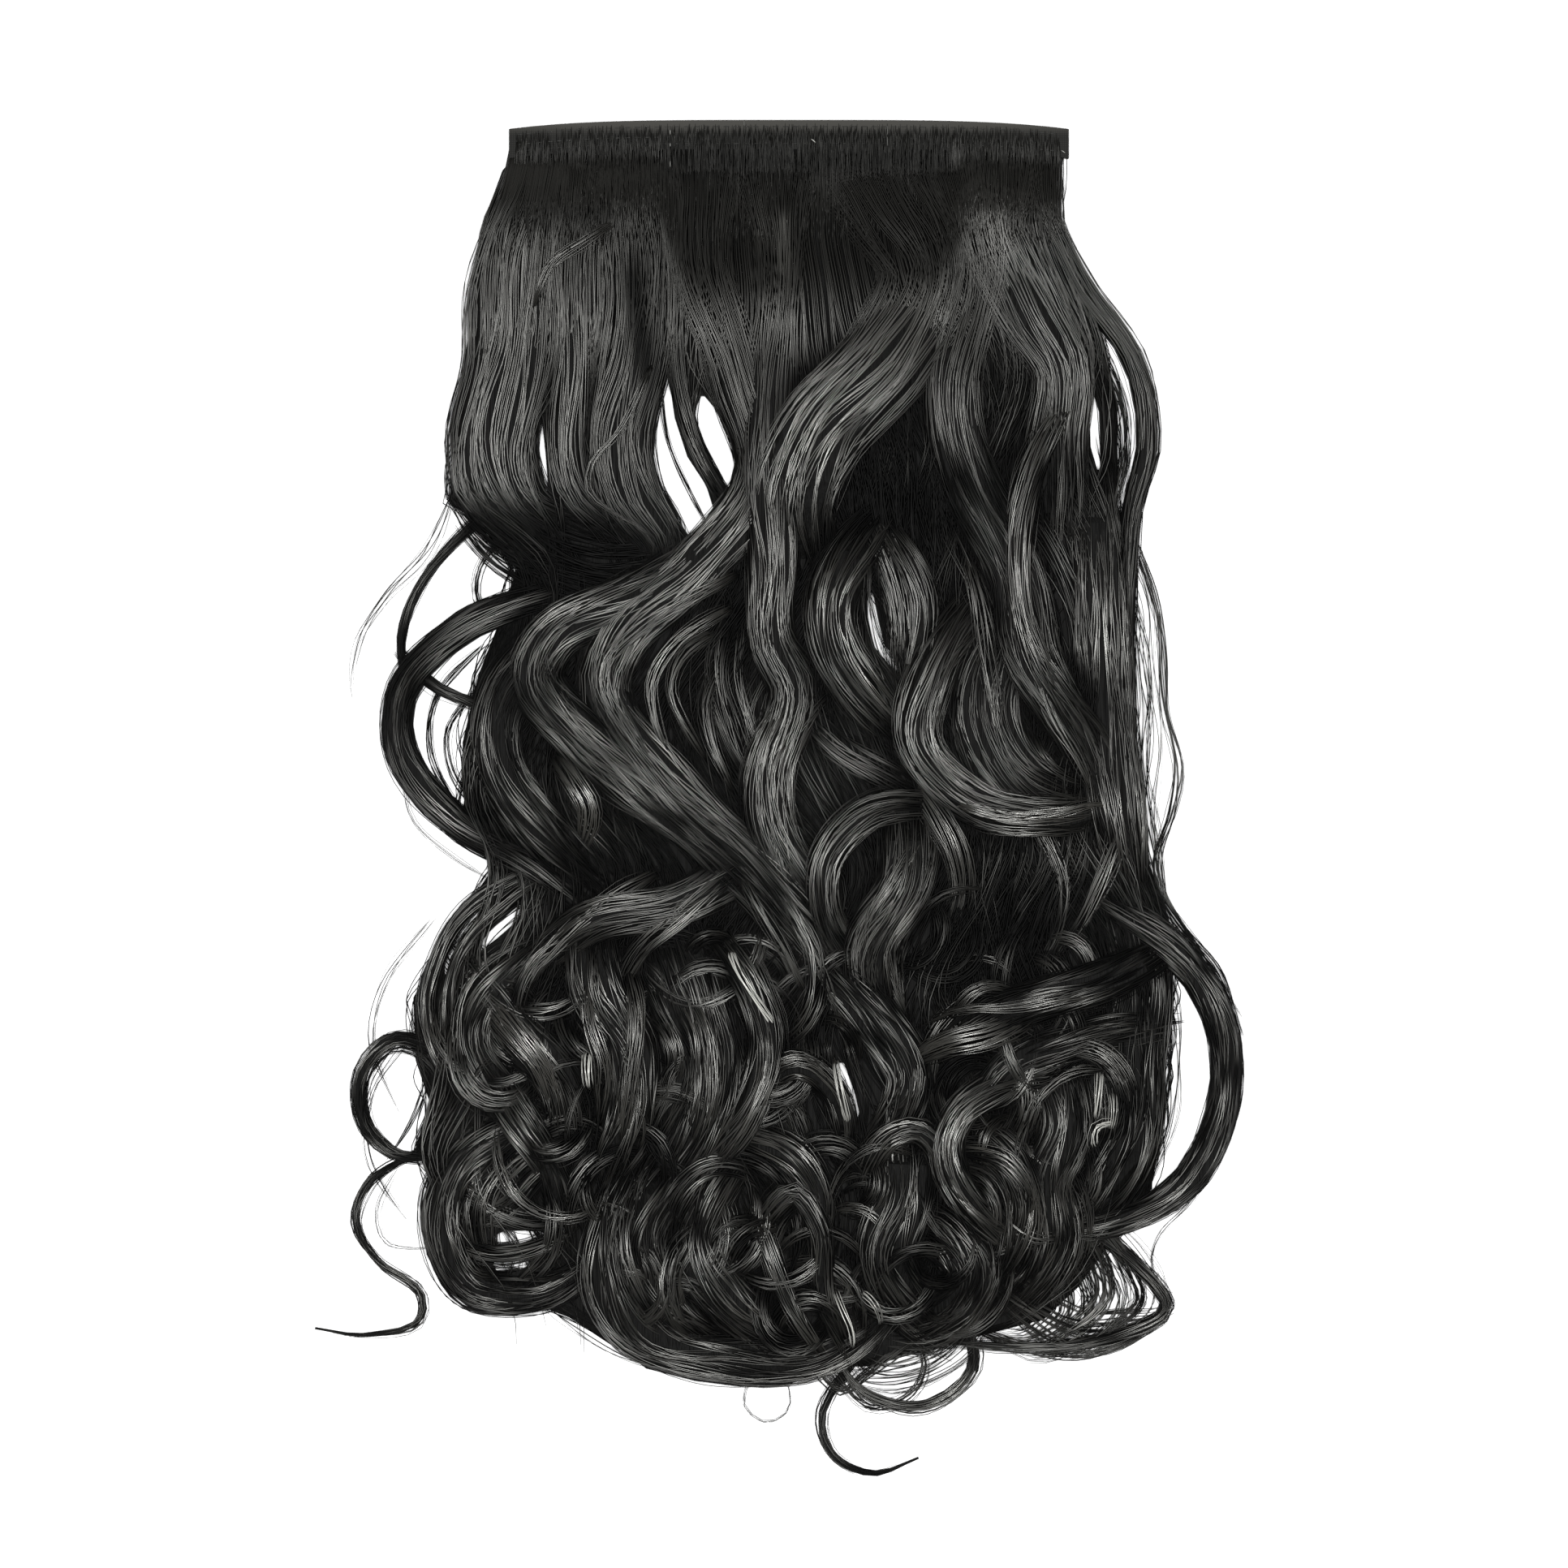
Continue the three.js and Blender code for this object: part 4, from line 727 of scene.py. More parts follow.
def lock_strands(rng, lock, settings):
    """Paths, radii and tones of a lock's strands, which lie over its round top, and of a few strays."""
    length, columns = lock_line(lock)
    reach = HIDDEN_STAGGER * lock_reach(lock) / length[-1]
    body = max(FEWEST_STRANDS, round(lock.dense * lock.wide / (settings.spacing / MM)))
    strays = FEWEST_STRAYS + round(lock.wide / STRAY_SPACING)
    count = body + strays
    step = settings.step / MM * (LONG_STEP if lock.weft else 1)
    steps = max(FEWEST_STEPS, round(length[-1] / step))
    # Hidden ends are staggered, and so are loose tips
    begin = np.zeros((count, 1)) if lock.weft or "root" in lock.free else rng.uniform(0, reach, (count, 1))
    end = 1 - (TIP_STAGGER if "tip" in lock.free else reach) * rng.uniform(0, 1, (count, 1))
    run = (begin + (end - begin) * np.linspace(0, 1, steps + 1)) * length[-1]
    x, y, z, side_x, side_y, half, thick = (np.interp(run, length, c) for c in columns.T)
    # Strands lie side by side from -1 to 1, each with the clump nearest to it
    clumps = max(1, round(lock.wide / CLUMP_WIDE))
    middles = (np.arange(clumps) + rng.uniform(0.25, 0.75, clumps)) / clumps * 2 - 1
    jitter = 0.25 if lock.weft else 0.5
    place = (np.arange(count) + rng.uniform(0.5 - jitter, 0.5 + jitter, count)) / body * 2 - 1
    farthest = 1 + min(0.5, STRAY_OUT / lock.wide)
    place[body:] = rng.choice((-1, 1), strays) * rng.uniform(1.0, farthest, strays)
    home = np.abs(place[:, None] - middles).argmin(1)
    loose = smooth(run / LOOSE_RUN) if lock.weft else 1
    wild = 0.12 + 0.88 * smooth((run - lock.calm) / WILD_RUN) if lock.weft else np.ones(run.shape)
    gather = (0.1 + 0.22 * smooth(run / length[-1])) * smooth(run / GATHER_RUN) * wild
    curly = smooth((-y - CURLY_FROM) / CURLY_SPAN)
    stray = waves(rng, count, run, STRAY_WAVES) * (settings.wander / MM) / np.maximum(half, 2)
    stray = stray * (0.4 + 0.6 * wild)
    across = place[:, None] + (middles[home] - place)[:, None] * gather
    across = across + loose * (waves(rng, clumps, run[:1], SWING_WAVES)[home] * 0.12 + stray)
    across = across + 0.1 * curly * waves(rng, clumps, run[:1], CURLY_SWING_WAVES)[home]
    # The lock is round on top, each clump is a ridge on it, and locks, clumps and strands rise and fall
    crown = np.sqrt(np.clip(1 - across**2, 0, 1))
    ridge = 1 - np.clip(np.abs(across - middles[home][:, None]) * clumps, 0, 1) ** 2
    bob = min(LOCK_BOB, lock.thick / 6) * (0.3 + 0.5 * waves(rng, 1, run[:1], LOCK_WAVES))
    bob = bob + min(CLUMP_BOB, lock.thick / 8) * waves(rng, clumps, run[:1], BOB_WAVES)[home]
    curly_bob = curly * min(CURLY_BOB, lock.thick / 9)
    bob = bob + curly_bob * waves(rng, clumps, run[:1], CURLY_BOB_WAVES)[home]
    lift = rng.uniform(-STRAND_LIFT, STRAND_LIFT, (count, 1)) + 0.1 * waves(rng, count, run, LIFT_WAVES)
    x = x + side_x * across * half
    y = y + side_y * across * half
    top = z + thick * crown + loose * wild * (RIDGE * ridge + bob) + (0.3 + 0.7 * loose * wild) * lift
    if lock.weft:
        y = sagged(x, -np.minimum(y, -1))
        low = curtain_top(x, -y) + 0.5 + 0.6 * lift
        top = low + np.maximum(top - low, 0) * smooth((-y - LEAVE_FROM) / LEAVE_SPAN)
        top = np.where(y > -SLOT_DOWN + end_drop(x), LOCK_SLOT_UP + 0.2 * lift, top)
    share = np.linspace(0, 1, steps + 1)
    taper = smooth(share / 0.08 + (0.7 if lock.weft else 0.15)) * (1 - 0.75 * smooth((share - 0.8) / 0.2))
    radii = settings.radius / MM * rng.uniform(*STRAND_RADII, (count, 1)) * taper
    radii = radii * min(1, 0.4 + lock.wide / 15) * (0.3 + 0.7 * lock.dense)
    radii[body:] *= STRAY_RADIUS
    tone = lock.lighter + rng.uniform(-CLUMP_TONE, CLUMP_TONE, clumps)[home]
    tone = (tone + rng.uniform(-STRAND_TONE, STRAND_TONE, count))[:, None]
    tone = tone + WAVE_TONE * waves(rng, clumps, run[:1], TONE_WAVES)[home]
    changes = waves(rng, clumps, run[:1], CURLY_TONE_WAVES)[home]
    tone = tone + curly * (CURLY_TONE + CURLY_WAVE_TONE * changes)
    return np.stack([x, y, np.maximum(top, radii)], -1), radii, shine(x, -y) + wild * tone


def small_curls(rng):
    """Short curled locks that fill in the lower third, each an arc that rises and falls again."""
    share = np.linspace(0, 1, CURL_POINTS)
    for _ in range(CURL_TRIES):
        down, radius, wide = (rng.uniform(*span) for span in (CURL_DOWN, CURL_RADIUS, CURL_WIDE))
        left, right, _ = section(down)
        across = rng.uniform(left, right)
        angle = rng.uniform(0, 2 * np.pi) + rng.choice((-1, 1)) * rng.uniform(*CURL_TURN) * share
        x = across + radius * np.cos(angle)
        low = down + 1.2 * radius * np.sin(angle)
        up = CURL_UP + rng.uniform(*CURL_RISE) * np.sin(np.pi * share)
        left, right, _ = section(low)
        inside = ((x > left + wide) & (x < right - wide)).all()
        inside = inside and low.min() > CURL_LIMITS[0] and low.max() < CURL_LIMITS[1]
        if inside and not in_opening(x, low, wide / 2 + CURL_MARGIN).any():
            lighter = rng.uniform(-CURL_TONE, CURL_TONE)
            yield Lock("curl", wide, CURL_THICK, tuple(zip(x, low, up)), lighter=lighter)


def in_opening(x, down, margin):
    """Whether points lie in one of the openings."""
    found = np.zeros(x.shape, bool)
    for rows in OPENINGS:
        middle, at, wide = np.array(rows, float).T
        inside = np.abs(x - np.interp(down, at, middle)) < np.interp(down, at, wide) / 2 + margin
        found |= inside & (down > at[0] - margin) & (down < at[-1] + margin)
    return found


def fall_strands(rng, settings):
    """Paths, radii and tones of hair that falls from the weft in waves and fills in between the locks."""
    count = LAYER_STRANDS
    steps = round(FALL_ENDS[1] / (settings.step / MM * LONG_STEP))
    end = rng.uniform(*FALL_ENDS, (count, 1))
    down = FALL_BEGIN + (end - FALL_BEGIN) * np.linspace(0, 1, steps + 1)
    place = (np.arange(count) + rng.uniform(0, 1, count)) / count
    home = np.minimum((place * FAMILIES).astype(int), FAMILIES - 1)
    left, right, high = section(down)
    loose = smooth((down - SWING_FROM) / SWING_SPAN)
    phase = np.cumsum(rng.uniform(*PHASE_STEPS, FAMILIES))[home, None]
    swing = rng.uniform(*SWING_WIDE, FAMILIES)[home, None]
    swing = swing * np.sin(2 * np.pi * (down / SWING_LENGTH + phase))
    sway = swing + waves(rng, FAMILIES, down[:1], FAMILY_WAVES)[home] * FAMILY_SWAY
    sway = sway + waves(rng, count, down, FALL_WAVES) * STRAND_SWAY
    spread = (right - left) / FAMILIES
    within = place * FAMILIES - home - 0.5
    x = left + spread * (home + 0.5)[:, None] + spread * (within * FAMILY_WIDE)[:, None] + sway * loose
    fray = FRAY * waves(rng, count, down, FRAY_WAVES)
    from_left, from_right = (FALL_INSET * rng.uniform(0, 1, (count, 1)) for _ in range(2))
    x = np.clip(x, left + fray + from_left, right + fray - from_right)
    # Strands part round each opening, to the side that they are on
    for rows in OPENINGS:
        middle, at, wide = np.array(rows, float).T
        at = np.array([at[0] - PART_REACH, *at, at[-1] + PART_REACH])
        wide = np.array([PART_CLOSED, *wide, PART_CLOSED])
        middle = np.interp(down, at[1:-1], middle)
        aside = PART_SPREAD * rng.uniform(0, 1, (count, 1)) ** 2
        half = np.interp(down, at, wide) / 2 + PART_MARGIN + aside
        nearest = np.abs(down - at.mean()).argmin(1)[:, None]
        hand = np.sign(np.take_along_axis(x - middle, nearest, 1))
        x = middle + hand * np.maximum(hand * (x - middle), half)
    for _ in range(2):
        x[:, 1:-1] = (x[:, :-2] + 2 * x[:, 1:-1] + x[:, 2:]) / 4
    crown = FAMILY_CROWN * np.sqrt(np.clip(1 - (1.9 * within) ** 2, 0, 1))[:, None]
    bob = waves(rng, FAMILIES, down[:1], FAMILY_WAVES)[home] * FAMILY_BOB
    bob = bob + rng.uniform(*FAMILY_LIFTS, FAMILIES)[home, None]
    top = high + FALL_OVER + 0.7 * loose * (bob + 1 + crown)
    top = np.maximum(top + FALL_LIFT * waves(rng, count, down, LIFT_WAVES), curtain_top(x, down))
    y = sagged(x, down)
    top = np.where(y > -SLOT_DOWN + end_drop(x), FALL_SLOT_UP, top)
    radii = settings.radius / MM * rng.uniform(*STRAND_RADII, (count, 1)) * np.ones(steps + 1)
    radii[:, -6:] *= np.linspace(0.9, 0.25, 6)
    tone = rng.uniform(*FAMILY_TONES, FAMILIES)[home] + rng.uniform(-FALL_TONE, FALL_TONE, count)
    return np.stack([x, y, np.maximum(top, radii)], -1), radii, shine(x, down) + tone[:, None]


def stitches(settings):
    """Paths, radii and tones of the stitches, each a low hump of thread on the band."""
    rows = list(STITCHES)
    for down, left, right, long, gap, pale, hump in SEAMS:
        rows += [(x, down, x + long, down, pale, hump) for x in np.arange(left, right - long, long + gap)]
    x0, down0, x1, down1, pale, hump = np.array(rows).T[:, :, None]
    share = np.linspace(0, 1, STITCH_POINTS)
    x = x0 + (x1 - x0) * share
    y = end_drop(x) - down0 - (down1 - down0) * share
    up = BAND_TOP - STITCH_SINK + hump * np.sin(np.pi * share)
    radii = np.full(x.shape, settings.thread / MM)
    return np.stack([x, y, up], -1), radii, np.broadcast_to(pale, x.shape)


def root_strands(rng, settings):
    """Paths, radii and tones of short hairs at the roots, which spread over the lower half of the band."""
    size, share = (ROOT_STRANDS, 1), np.linspace(0, 1, ROOT_POINTS)
    x = rng.uniform(*ROOT_PLACES, size) + rng.uniform(-ROOT_LEAN, ROOT_LEAN, size) * share
    begin, end = rng.uniform(*ROOT_BEGINS, size), rng.uniform(*ROOT_ENDS, size)
    down = begin + (end - begin) * share
    lift = rng.uniform(0, ROOT_LIFT, size)
    over_band = BAND_TOP + OVER_BAND + lift - STEP_DOWN * smooth((down - STEP_FROM) / STEP_SPAN)
    top = np.maximum(over_band, curtain_top(x, down) + OVER_HAIR + lift)
    taper = 1 - 0.8 * np.linspace(-1, 1, ROOT_POINTS) ** 4
    radii = settings.radius / MM * rng.uniform(*ROOT_RADII, size) * taper
    tone = shine(x, down) + rng.uniform(-0.02, 0.02, size)
    return np.stack([x, end_drop(x) - down, top], -1), radii, tone


def edge_strands(rng, settings):
    """Paths, radii and tones of single hairs that wander in and out along both edges."""
    size, share = (EDGE_STRANDS, 1), np.linspace(0, 1, EDGE_POINTS)
    begin, long = rng.uniform(*EDGE_BEGINS, size), rng.uniform(*EDGE_LONG, size)
    down = np.minimum(begin + long * share, SECTIONS[-1][0] - 10)
    hand = rng.choice((-1, 1), size)
    left, right, _ = section(down)
    edge = np.where(hand < 0, left, right)
    out = rng.uniform(*EDGE_OUT, size) + EDGE_WANDER * waves(rng, EDGE_STRANDS, down, EDGE_WAVES)
    out = out - EDGE_TUCK * (1 - smooth(np.minimum(share, 1 - share) / 0.25))
    taper = 1 - 0.7 * np.abs(2 * share - 1) ** 3
    radii = settings.radius / MM * rng.uniform(*EDGE_RADII, size) * taper
    up = np.clip(EDGE_UP - EDGE_SLOPE * out, *EDGE_HEIGHTS)
    # The small slope keeps points apart where a hair reaches the last section
    return np.stack([edge + hand * out, -down - 0.2 * share, up], -1), radii, np.full(down.shape, SHINE)


def blurred(field, reach):
    """A map blurred by a bell curve with a reach in cells."""
    rows, columns = (np.minimum(np.arange(n), n - np.arange(n)) for n in field.shape)
    bell = np.exp(-(rows[:, None] ** 2 + columns**2) / (2 * reach**2))
    return np.fft.irfft2(np.fft.rfft2(field) * np.fft.rfft2(bell), field.shape)


def shade_hollows(bundles):
    """Paints shade on hair lying low among its neighbours, and a highlight on hair standing proud."""
    paths = [path for path, _, _ in bundles]
    corner = np.min([path.reshape(-1, 3).min(0) for path in paths], axis=0)[:2] - HOLLOW_MARGIN
    far = np.max([path.reshape(-1, 3).max(0) for path in paths], axis=0)[:2] + HOLLOW_MARGIN
    high = np.zeros(((far - corner) / HOLLOW_CELL).astype(int) + 1)
    for path in paths:
        for share in (0, 1 / 3, 2 / 3):
            point = path[:, :-1] * (1 - share) + path[:, 1:] * share
            cell = ((point[..., :2] - corner) / HOLLOW_CELL).astype(int)
            np.maximum.at(high, (cell[..., 0], cell[..., 1]), point[..., 2])
    reach = HOLLOW_REACH / HOLLOW_CELL
    around = blurred(high, reach) / np.maximum(blurred((high > 0).astype(float), reach), 0.05)
    for path, _, tone in bundles:
        cell = ((path[..., :2] - corner) / HOLLOW_CELL).astype(int)
        proud = path[..., 2] - around[cell[..., 0], cell[..., 1]]
        share = HOLLOW_SHARE * smooth((-path[..., 1] - HOLLOW_FROM) / HOLLOW_SPAN)
        tone += share * np.clip(proud / HOLLOW_DEPTH, -1, 0.6)


def tube_arrays(paths, radii):
    """Vertices, side quads and end triangles of closed three-sided tubes along the paths."""
    count, points = paths.shape[:2]
    along = np.gradient(paths, axis=1)
    along /= np.linalg.norm(along, axis=2, keepdims=True)
    side = np.cross(along, (0, 0, 1))
    side /= np.maximum(np.linalg.norm(side, axis=2, keepdims=True), 1e-6)
    over = FLATNESS * np.cross(side, along)
    angle = np.pi / 2 + np.arange(3) * 2 * np.pi / 3
    ring = side[:, :, None] * np.cos(angle)[:, None] + over[:, :, None] * np.sin(angle)[:, None]
    vertices = paths[:, :, None] + ring * radii[:, :, None, None]
    index = np.arange(count * points * 3).reshape(count, points, 3)
    near, far = index[:, :-1], index[:, 1:]
    quads = np.stack([near, np.roll(near, -1, 2), np.roll(far, -1, 2), far], -1)
    ends = np.concatenate([index[:, 0, ::-1], index[:, -1]])
    return vertices.reshape(-1, 3), quads.reshape(-1, 4), ends


def strand_uv(count, points):
    """A strip of the map for each strand, three columns wide, for the sides and then the ends."""
    strand, step, face = np.meshgrid(np.arange(count), np.arange(points - 1), np.arange(3), indexing="ij")
    corners = ((0.05, 0), (0.95, 0), (0.95, 1), (0.05, 1))
    sides = [np.stack([(strand + (face + u) / 3) / count, (step + v) / points], -1) for u, v in corners]
    caps = [
        np.stack([(np.arange(count) + u) / count, np.full(count, low + v / points)], -1)
        for low in (0.0, 1 - 1 / points) for u, v in ((0.2, 0), (0.8, 0), (0.5, 0.5))
    ]
    ends = np.concatenate([np.stack(caps[:3], 1), np.stack(caps[3:], 1)])
    return np.concatenate([np.stack(sides, -2).reshape(-1, 2), ends.reshape(-1, 2)])


def strand_piece(name, bundles, material):
    """One joined mesh of many strands, riding on the part."""
    vertices, loops, starts, tones, maps = [], [], [], [], []
    base = corner = strand = 0
    total = sum(len(paths) for paths, _, _ in bundles)
    for paths, radii, tone in bundles:
        points, quads, ends = tube_arrays(paths * MM, radii * MM)
        vertices.append(points)
        loops += [(quads + base).ravel(), (ends + base).ravel()]
        starts += [corner + 4 * np.arange(len(quads)), corner + quads.size + 3 * np.arange(len(ends))]
        tones.append(np.repeat(np.clip(tone, 0, MOST_TONE).ravel(), 3))
        maps.append((strand_uv(*paths.shape[:2]) * (len(paths), 1) + (strand, 0)) / (total, 1))
        base += len(points)
        corner += quads.size + ends.size
        strand += len(paths)
    mesh = bpy.data.meshes.new(name)
    mesh.vertices.add(base)
    mesh.vertices.foreach_set("co", np.concatenate(vertices).astype(np.float32).ravel())
    mesh.loops.add(corner)
    mesh.loops.foreach_set("vertex_index", np.concatenate(loops).astype(np.int32))
    starts = np.concatenate(starts).astype(np.int32)
    mesh.polygons.add(len(starts))
    mesh.polygons.foreach_set("loop_start", starts)
    layer = mesh.uv_layers.new(name="OFBake")
    layer.uv.foreach_set("vector", np.concatenate(maps).astype(np.float32).ravel())
    # The tone carries painted sheen and shade, glints and random tone of the fibre, or the paleness of
    # thread
    values = mesh.attributes.new("tone", "FLOAT", "POINT").data
    values.foreach_set("value", np.concatenate(tones).astype(np.float32))
    mesh.update(calc_edges=True)
    mesh.shade_smooth()
    mesh.materials.append(material)
    piece = bpy.data.objects.new(name, mesh)
    bpy.context.scene.collection.objects.link(piece)
    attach(piece, "root")


def add_node(tree, kind, sockets=None, **settings):
    """Adds a shader node, sets it, and links or sets its sockets."""
    node = tree.nodes.new(kind)
    for name, value in settings.items():
        setattr(node, name, value)
    for socket, value in (sockets or {}).items():
        if isinstance(value, bpy.types.NodeSocket):
            tree.links.new(value, node.inputs[socket])
        else:
            node.inputs[socket].default_value = value
    return node


def new_material(name):
    """An empty material and its tree."""
    made = bpy.data.materials.new(name)
    made.use_nodes = True
    made.node_tree.nodes.clear()
    return made, made.node_tree


def show(tree, sockets):
    """Ends a material in one surface shader."""
    shader = add_node(tree, "ShaderNodeBsdfPrincipled", sockets)
    add_node(tree, "ShaderNodeOutputMaterial", {"Surface": shader.outputs[0]})


def shades(tree, value, first, last, *between):
    """Colour that runs from one to another as a value goes from 0 to 1, through others at their places."""
    ramp = add_node(tree, "ShaderNodeValToRGB", {"Fac": value})
    stops = ramp.color_ramp.elements
    stops[0].color, stops[1].color = first, last
    for place, shade in between:
        stops.new(place).color = shade
    return ramp.outputs["Color"]


def fibre_material(colours):
    """Glossy black synthetic fibre: near black, with a soft sheen where the waves face up. The tone paints
    sheen, shade and glints into its colour, and also sets its roughness and gloss.
    """
    made, tree = new_material("black_synthetic_fibre")
    tone = add_node(tree, "ShaderNodeAttribute", attribute_name="tone").outputs["Fac"]
    rough = add_node(tree, "ShaderNodeMapRange", {"Value": tone, "To Min": 0.4, "To Max": 0.26})
    gloss = add_node(tree, "ShaderNodeMapRange", {"Value": tone, "To Min": 0.02, "To Max": 0.8},
                     interpolation_type="SMOOTHSTEP")
    level = add_node(tree, "ShaderNodeMapRange", {"Value": tone, "From Max": MOST_TONE}).outputs["Result"]
    # Colour runs from painted shade at tone 0 through painted sheen to painted glints at the highest tone
    sheen = ((0.5, colours.fibre_sheen), (0.75, colours.fibre_sheen))
    show(tree, {
        "Base Color": shades(tree, level, colours.fibre_shade, colours.fibre_glint, *sheen),
        "Roughness": rough.outputs["Result"], "IOR": 1.55,
        "Specular IOR Level": gloss.outputs["Result"], "Specular Tint": linear("fffffa"),
    })
    return made


def mass_material(colours):
    """Hair deep in the pile: almost black, painted darker than the strands as shade, with faint streaks
    down its length.
    """
    made, tree = new_material("black_fibre_mass")
    spot = add_node(tree, "ShaderNodeTexCoord").outputs["Object"]
    scale = (1 / STREAK_WIDE, 1 / STREAK_LONG, 1 / STREAK_WIDE)
    fine = add_node(tree, "ShaderNodeMapping", {"Vector": spot, "Scale": scale}).outputs["Vector"]
    grain = {"Vector": fine, "Scale": 1.0, "Detail": 2.0}
    streak = add_node(tree, "ShaderNodeTexNoise", grain).outputs["Fac"]
    bump = add_node(tree, "ShaderNodeBump", {"Height": streak, "Strength": 1.0, "Distance": STREAK_DEEP})
    show(tree, {
        "Base Color": shades(tree, streak, colours.mass_shade, colours.mass_streak),
        "Roughness": 0.6, "Specular IOR Level": 0.05, "Normal": bump.outputs["Normal"],
    })
    return made


def tape_material(colours):
    """Woven tape: soft black with a fine plain weave."""
    made, tree = new_material("woven_black_tape")
    spot = add_node(tree, "ShaderNodeTexCoord").outputs["Object"]
    threads = {"Vector": spot, "Scale": WAVE_LENGTH / WEAVE_PITCH, "Distortion": 0.4}
    warp = add_node(tree, "ShaderNodeTexWave", threads, bands_direction="X").outputs["Fac"]
    weft = add_node(tree, "ShaderNodeTexWave", threads, bands_direction="Y").outputs["Fac"]
    weave = add_node(tree, "ShaderNodeMath", {0: warp, 1: weft}, operation="MULTIPLY").outputs["Value"]
    bump = add_node(tree, "ShaderNodeBump", {"Height": weave, "Strength": 0.5, "Distance": WEAVE_DEEP})
    # The tape grows lighter towards its top edge
    place = add_node(tree, "ShaderNodeSeparateXYZ", {"Vector": spot}).outputs["Y"]
    edge = {"Value": place, "From Min": TOP_EDGE_FROM, "From Max": TOP_EDGE_TO}
    toward_top = add_node(tree, "ShaderNodeMapRange", edge, interpolation_type="SMOOTHSTEP").outputs["Result"]
    mixed = {0: weave, 1: 0.35, 2: toward_top}
    shade = add_node(tree, "ShaderNodeMath", mixed, operation="MULTIPLY_ADD", use_clamp=True)
    show(tree, {
        "Base Color": shades(tree, shade.outputs["Value"], colours.tape, colours.tape_top_edge),
        "Roughness": 0.8, "Specular IOR Level": 0.1, "Normal": bump.outputs["Normal"],
    })
    return made


def thread_material(colours):
    """Sewing thread: grey twist that stands out a little on the black."""
    made, tree = new_material("grey_sewing_thread")
    tone = add_node(tree, "ShaderNodeAttribute", attribute_name="tone").outputs["Fac"]
    twist = shades(tree, tone, colours.thread_dark, colours.thread_pale)
    show(tree, {"Base Color": twist, "Roughness": 0.7})
    return made


def paint_material(colours):
    """Black stoved paint on sprung steel: smooth and half gloss, with a faint orange-peel skin."""
    made, tree = new_material("black_stoved_paint")
    spot = add_node(tree, "ShaderNodeTexCoord").outputs["Object"]
    grain = {"Vector": spot, "Scale": 1 / PEEL_GRAIN, "Detail": 3.0}
    peel = add_node(tree, "ShaderNodeTexNoise", grain).outputs["Fac"]
    bump = add_node(tree, "ShaderNodeBump", {"Height": peel, "Strength": 0.15, "Distance": PEEL_DEEP})
    show(tree, {
        "Base Color": shades(tree, peel, colours.paint_low, colours.paint_high),
        "Roughness": 0.35, "Normal": bump.outputs["Normal"],
    })
    return made


def floor_material(colours):
    """Plain white card."""
    made, tree = new_material("white_card")
    show(tree, {"Base Color": colours.surface, "Roughness": 0.9})
    return made


def paint_node(node, material):
    """Gives a piece of the part its material."""
    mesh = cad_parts[node].data
    mesh.materials.clear()
    mesh.materials.append(material)


class HAIR_OT_strands(bpy.types.Operator):
    """Lay the strands of every lock over the hair that falls from the weft"""

    bl_idname = "hair_extension.strands"
    bl_label = "Hair strands"

    def execute(self, context):
        settings = context.scene.hair_extension
        paint_node("hair", mass_material(context.scene.hair_colours))
        fibre = fibre_material(context.scene.hair_colours)
        rng = np.random.default_rng(settings.seed)
        groups = {}
        for name, locks in (LOCKS | {"curls": tuple(small_curls(rng))}).items():
            groups[name] = [lock_strands(rng, lock, settings) for lock in locks]
        for layer in ("fall_under", "fall_over"):
            groups[layer] = [fall_strands(rng, settings)]
        groups["roots"] = [root_strands(rng, settings)]
        groups["edges"] = [edge_strands(rng, settings)]
        shade_hollows([bundle for bundles in groups.values() for bundle in bundles])
        for name, bundles in groups.items():
            strand_piece(f"strands_{name}", bundles, fibre)
        return {"FINISHED"}


class HAIR_OT_weft(bpy.types.Operator):
    """Finish the weft band and its stitches"""

    bl_idname = "hair_extension.weft"
    bl_label = "Weft band"

    def execute(self, context):
        scene = context.scene
        paint_node("weft_band", tape_material(scene.hair_colours))
        thread = thread_material(scene.hair_colours)
        strand_piece("stitches", [stitches(scene.hair_extension)], thread)
        return {"FINISHED"}


class HAIR_OT_clips(bpy.types.Operator):
    """Paint the clips under the weft"""

    bl_idname = "hair_extension.clips"
    bl_label = "Clips"

    def execute(self, context):
        paint = paint_material(context.scene.hair_colours)
        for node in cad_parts:
            if node.startswith("clip_"):
                paint_node(node, paint)
        return {"FINISHED"}


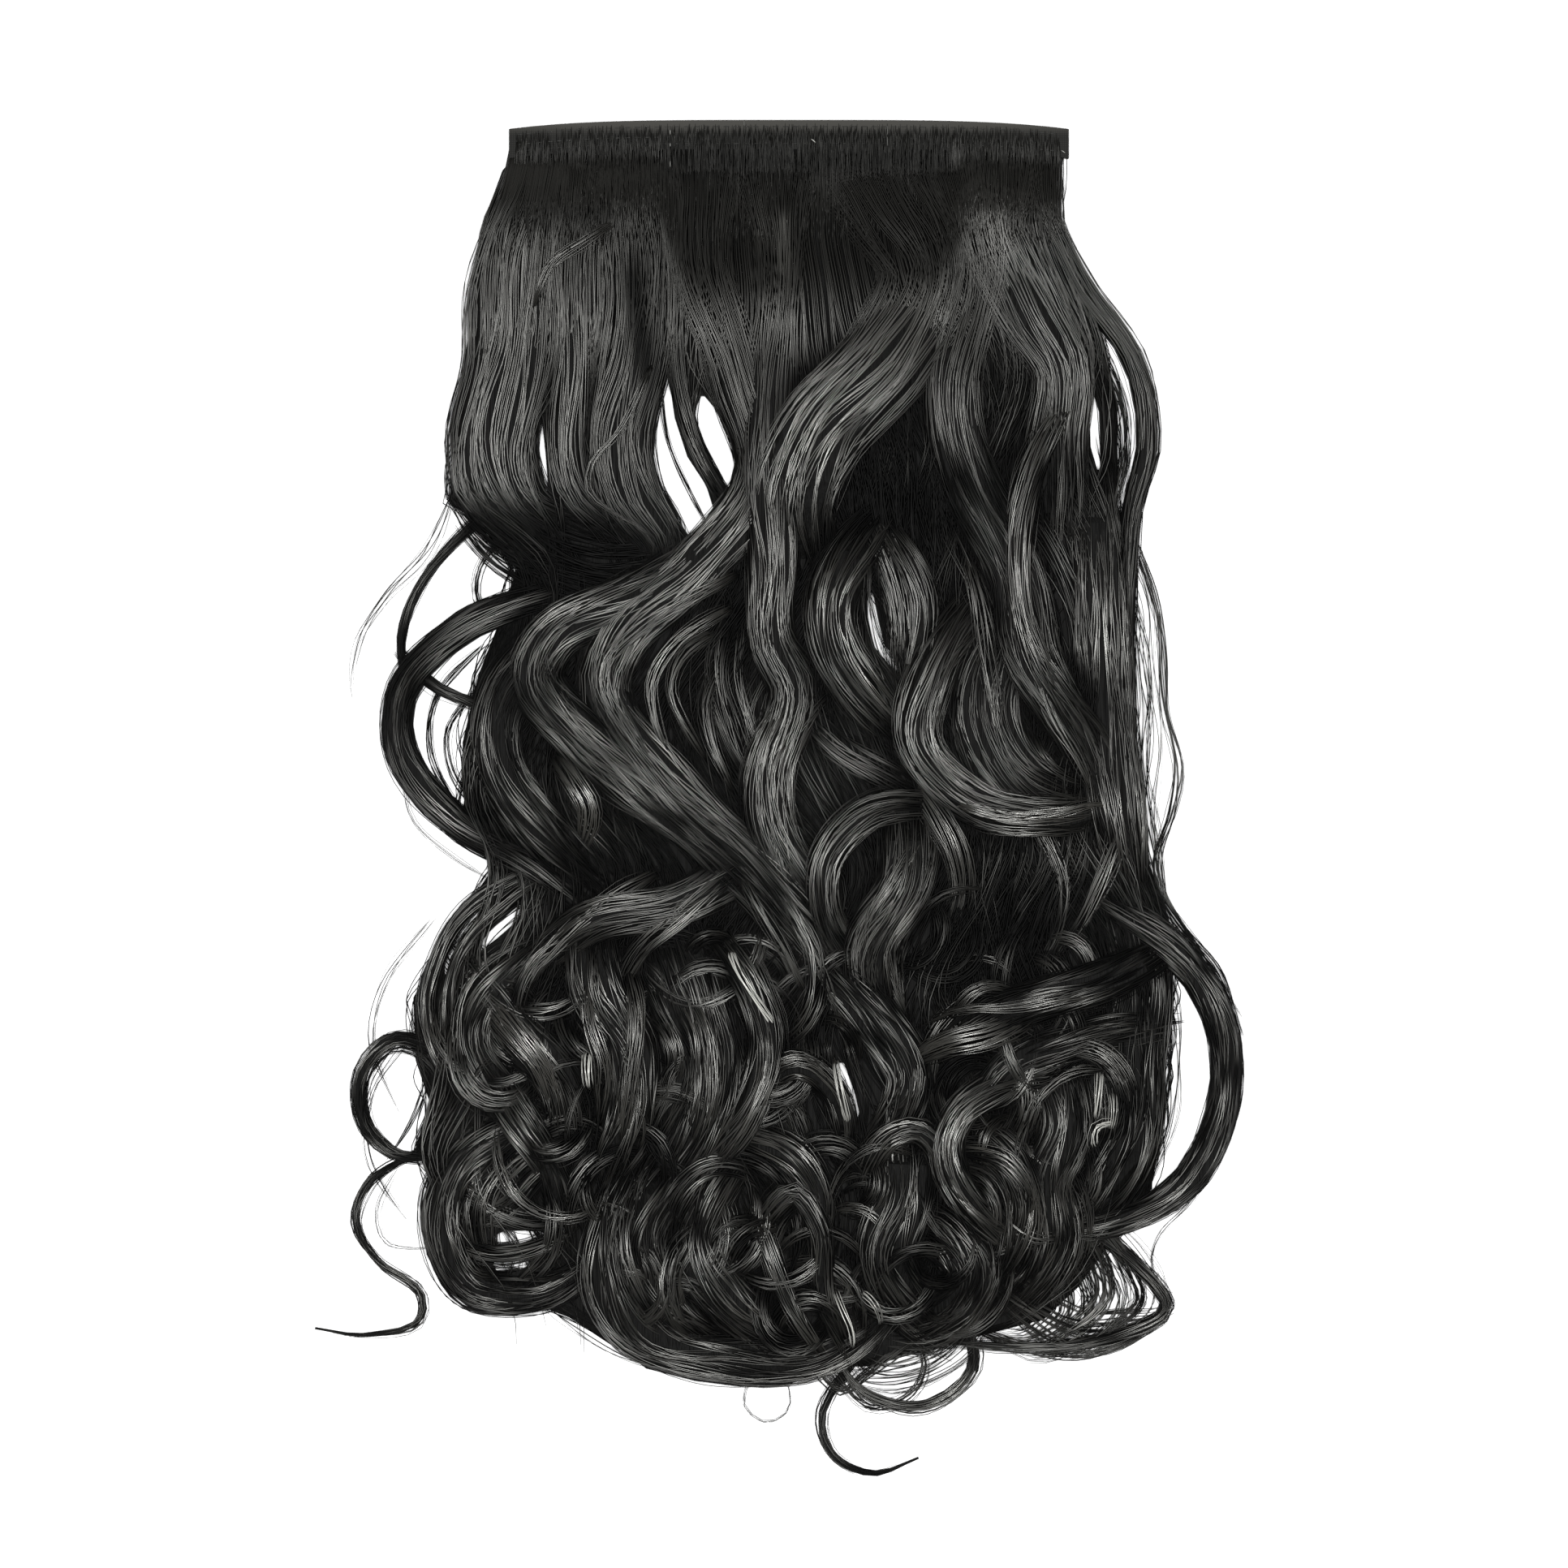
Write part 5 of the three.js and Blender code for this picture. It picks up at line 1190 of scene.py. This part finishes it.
class HAIR_OT_stage(bpy.types.Operator):
    """Set the white surface, the soft light and the camera overhead"""

    bl_idname = "hair_extension.stage"
    bl_label = "Stage"

    def execute(self, context):
        scene, settings = context.scene, context.scene.hair_stage
        bpy.ops.mesh.primitive_plane_add(size=CARD_SIDE, location=(0, CARD_Y, 0))
        floor = context.object
        floor.name = "floor"
        floor.data.materials.append(floor_material(scene.hair_colours))
        scene.world = bpy.data.worlds.new("studio")
        scene.world.use_nodes = True
        fill = scene.world.node_tree.nodes["Background"].inputs
        fill["Color"].default_value = linear("ffffff")
        fill["Strength"].default_value = FILL
        lamp = bpy.data.lights.new("softbox", "AREA")
        lamp.size = settings.softbox
        lamp.energy = settings.power
        softbox = bpy.data.objects.new("softbox", lamp)
        softbox.location = (0, PICTURE_Y, settings.softbox_height)
        lens = bpy.data.cameras.new("overhead")
        lens.sensor_width = SENSOR
        lens.lens = lens.sensor_width * settings.camera_height / settings.picture
        camera = bpy.data.objects.new("overhead", lens)
        camera.location = (PICTURE_X, PICTURE_Y, settings.camera_height)
        for thing in (softbox, camera):
            scene.collection.objects.link(thing)
        scene.camera = camera
        scene.view_settings.view_transform = "Standard"
        return {"FINISHED"}


class HAIR_PT_panel(bpy.types.Panel):
    """Steps that dress the hair extension"""

    bl_idname = "HAIR_PT_panel"
    bl_label = "Hair extension"
    bl_space_type = "VIEW_3D"
    bl_region_type = "UI"
    bl_category = "Hair extension"

    def draw(self, context):
        for operator in OPERATORS:
            self.layout.operator(operator.bl_idname)
        scene = context.scene
        for settings in (scene.hair_extension, scene.hair_colours, scene.hair_stage):
            for name in settings.__annotations__:
                self.layout.prop(settings, name)


OPERATORS = (HAIR_OT_strands, HAIR_OT_weft, HAIR_OT_clips, HAIR_OT_stage)
CLASSES = (ColourSettings, HairSettings, StageSettings, *OPERATORS, HAIR_PT_panel)


def register():
    for cls in CLASSES:
        bpy.utils.register_class(cls)
    bpy.types.Scene.hair_extension = PointerProperty(type=HairSettings)
    bpy.types.Scene.hair_colours = PointerProperty(type=ColourSettings)
    bpy.types.Scene.hair_stage = PointerProperty(type=StageSettings)


def unregister():
    del bpy.types.Scene.hair_stage
    del bpy.types.Scene.hair_colours
    del bpy.types.Scene.hair_extension
    for cls in reversed(CLASSES):
        bpy.utils.unregister_class(cls)


def main():
    register()
    bpy.ops.hair_extension.strands()
    bpy.ops.hair_extension.weft()
    bpy.ops.hair_extension.clips()
    bpy.ops.hair_extension.stage()


if __name__ == "__main__":
    main()
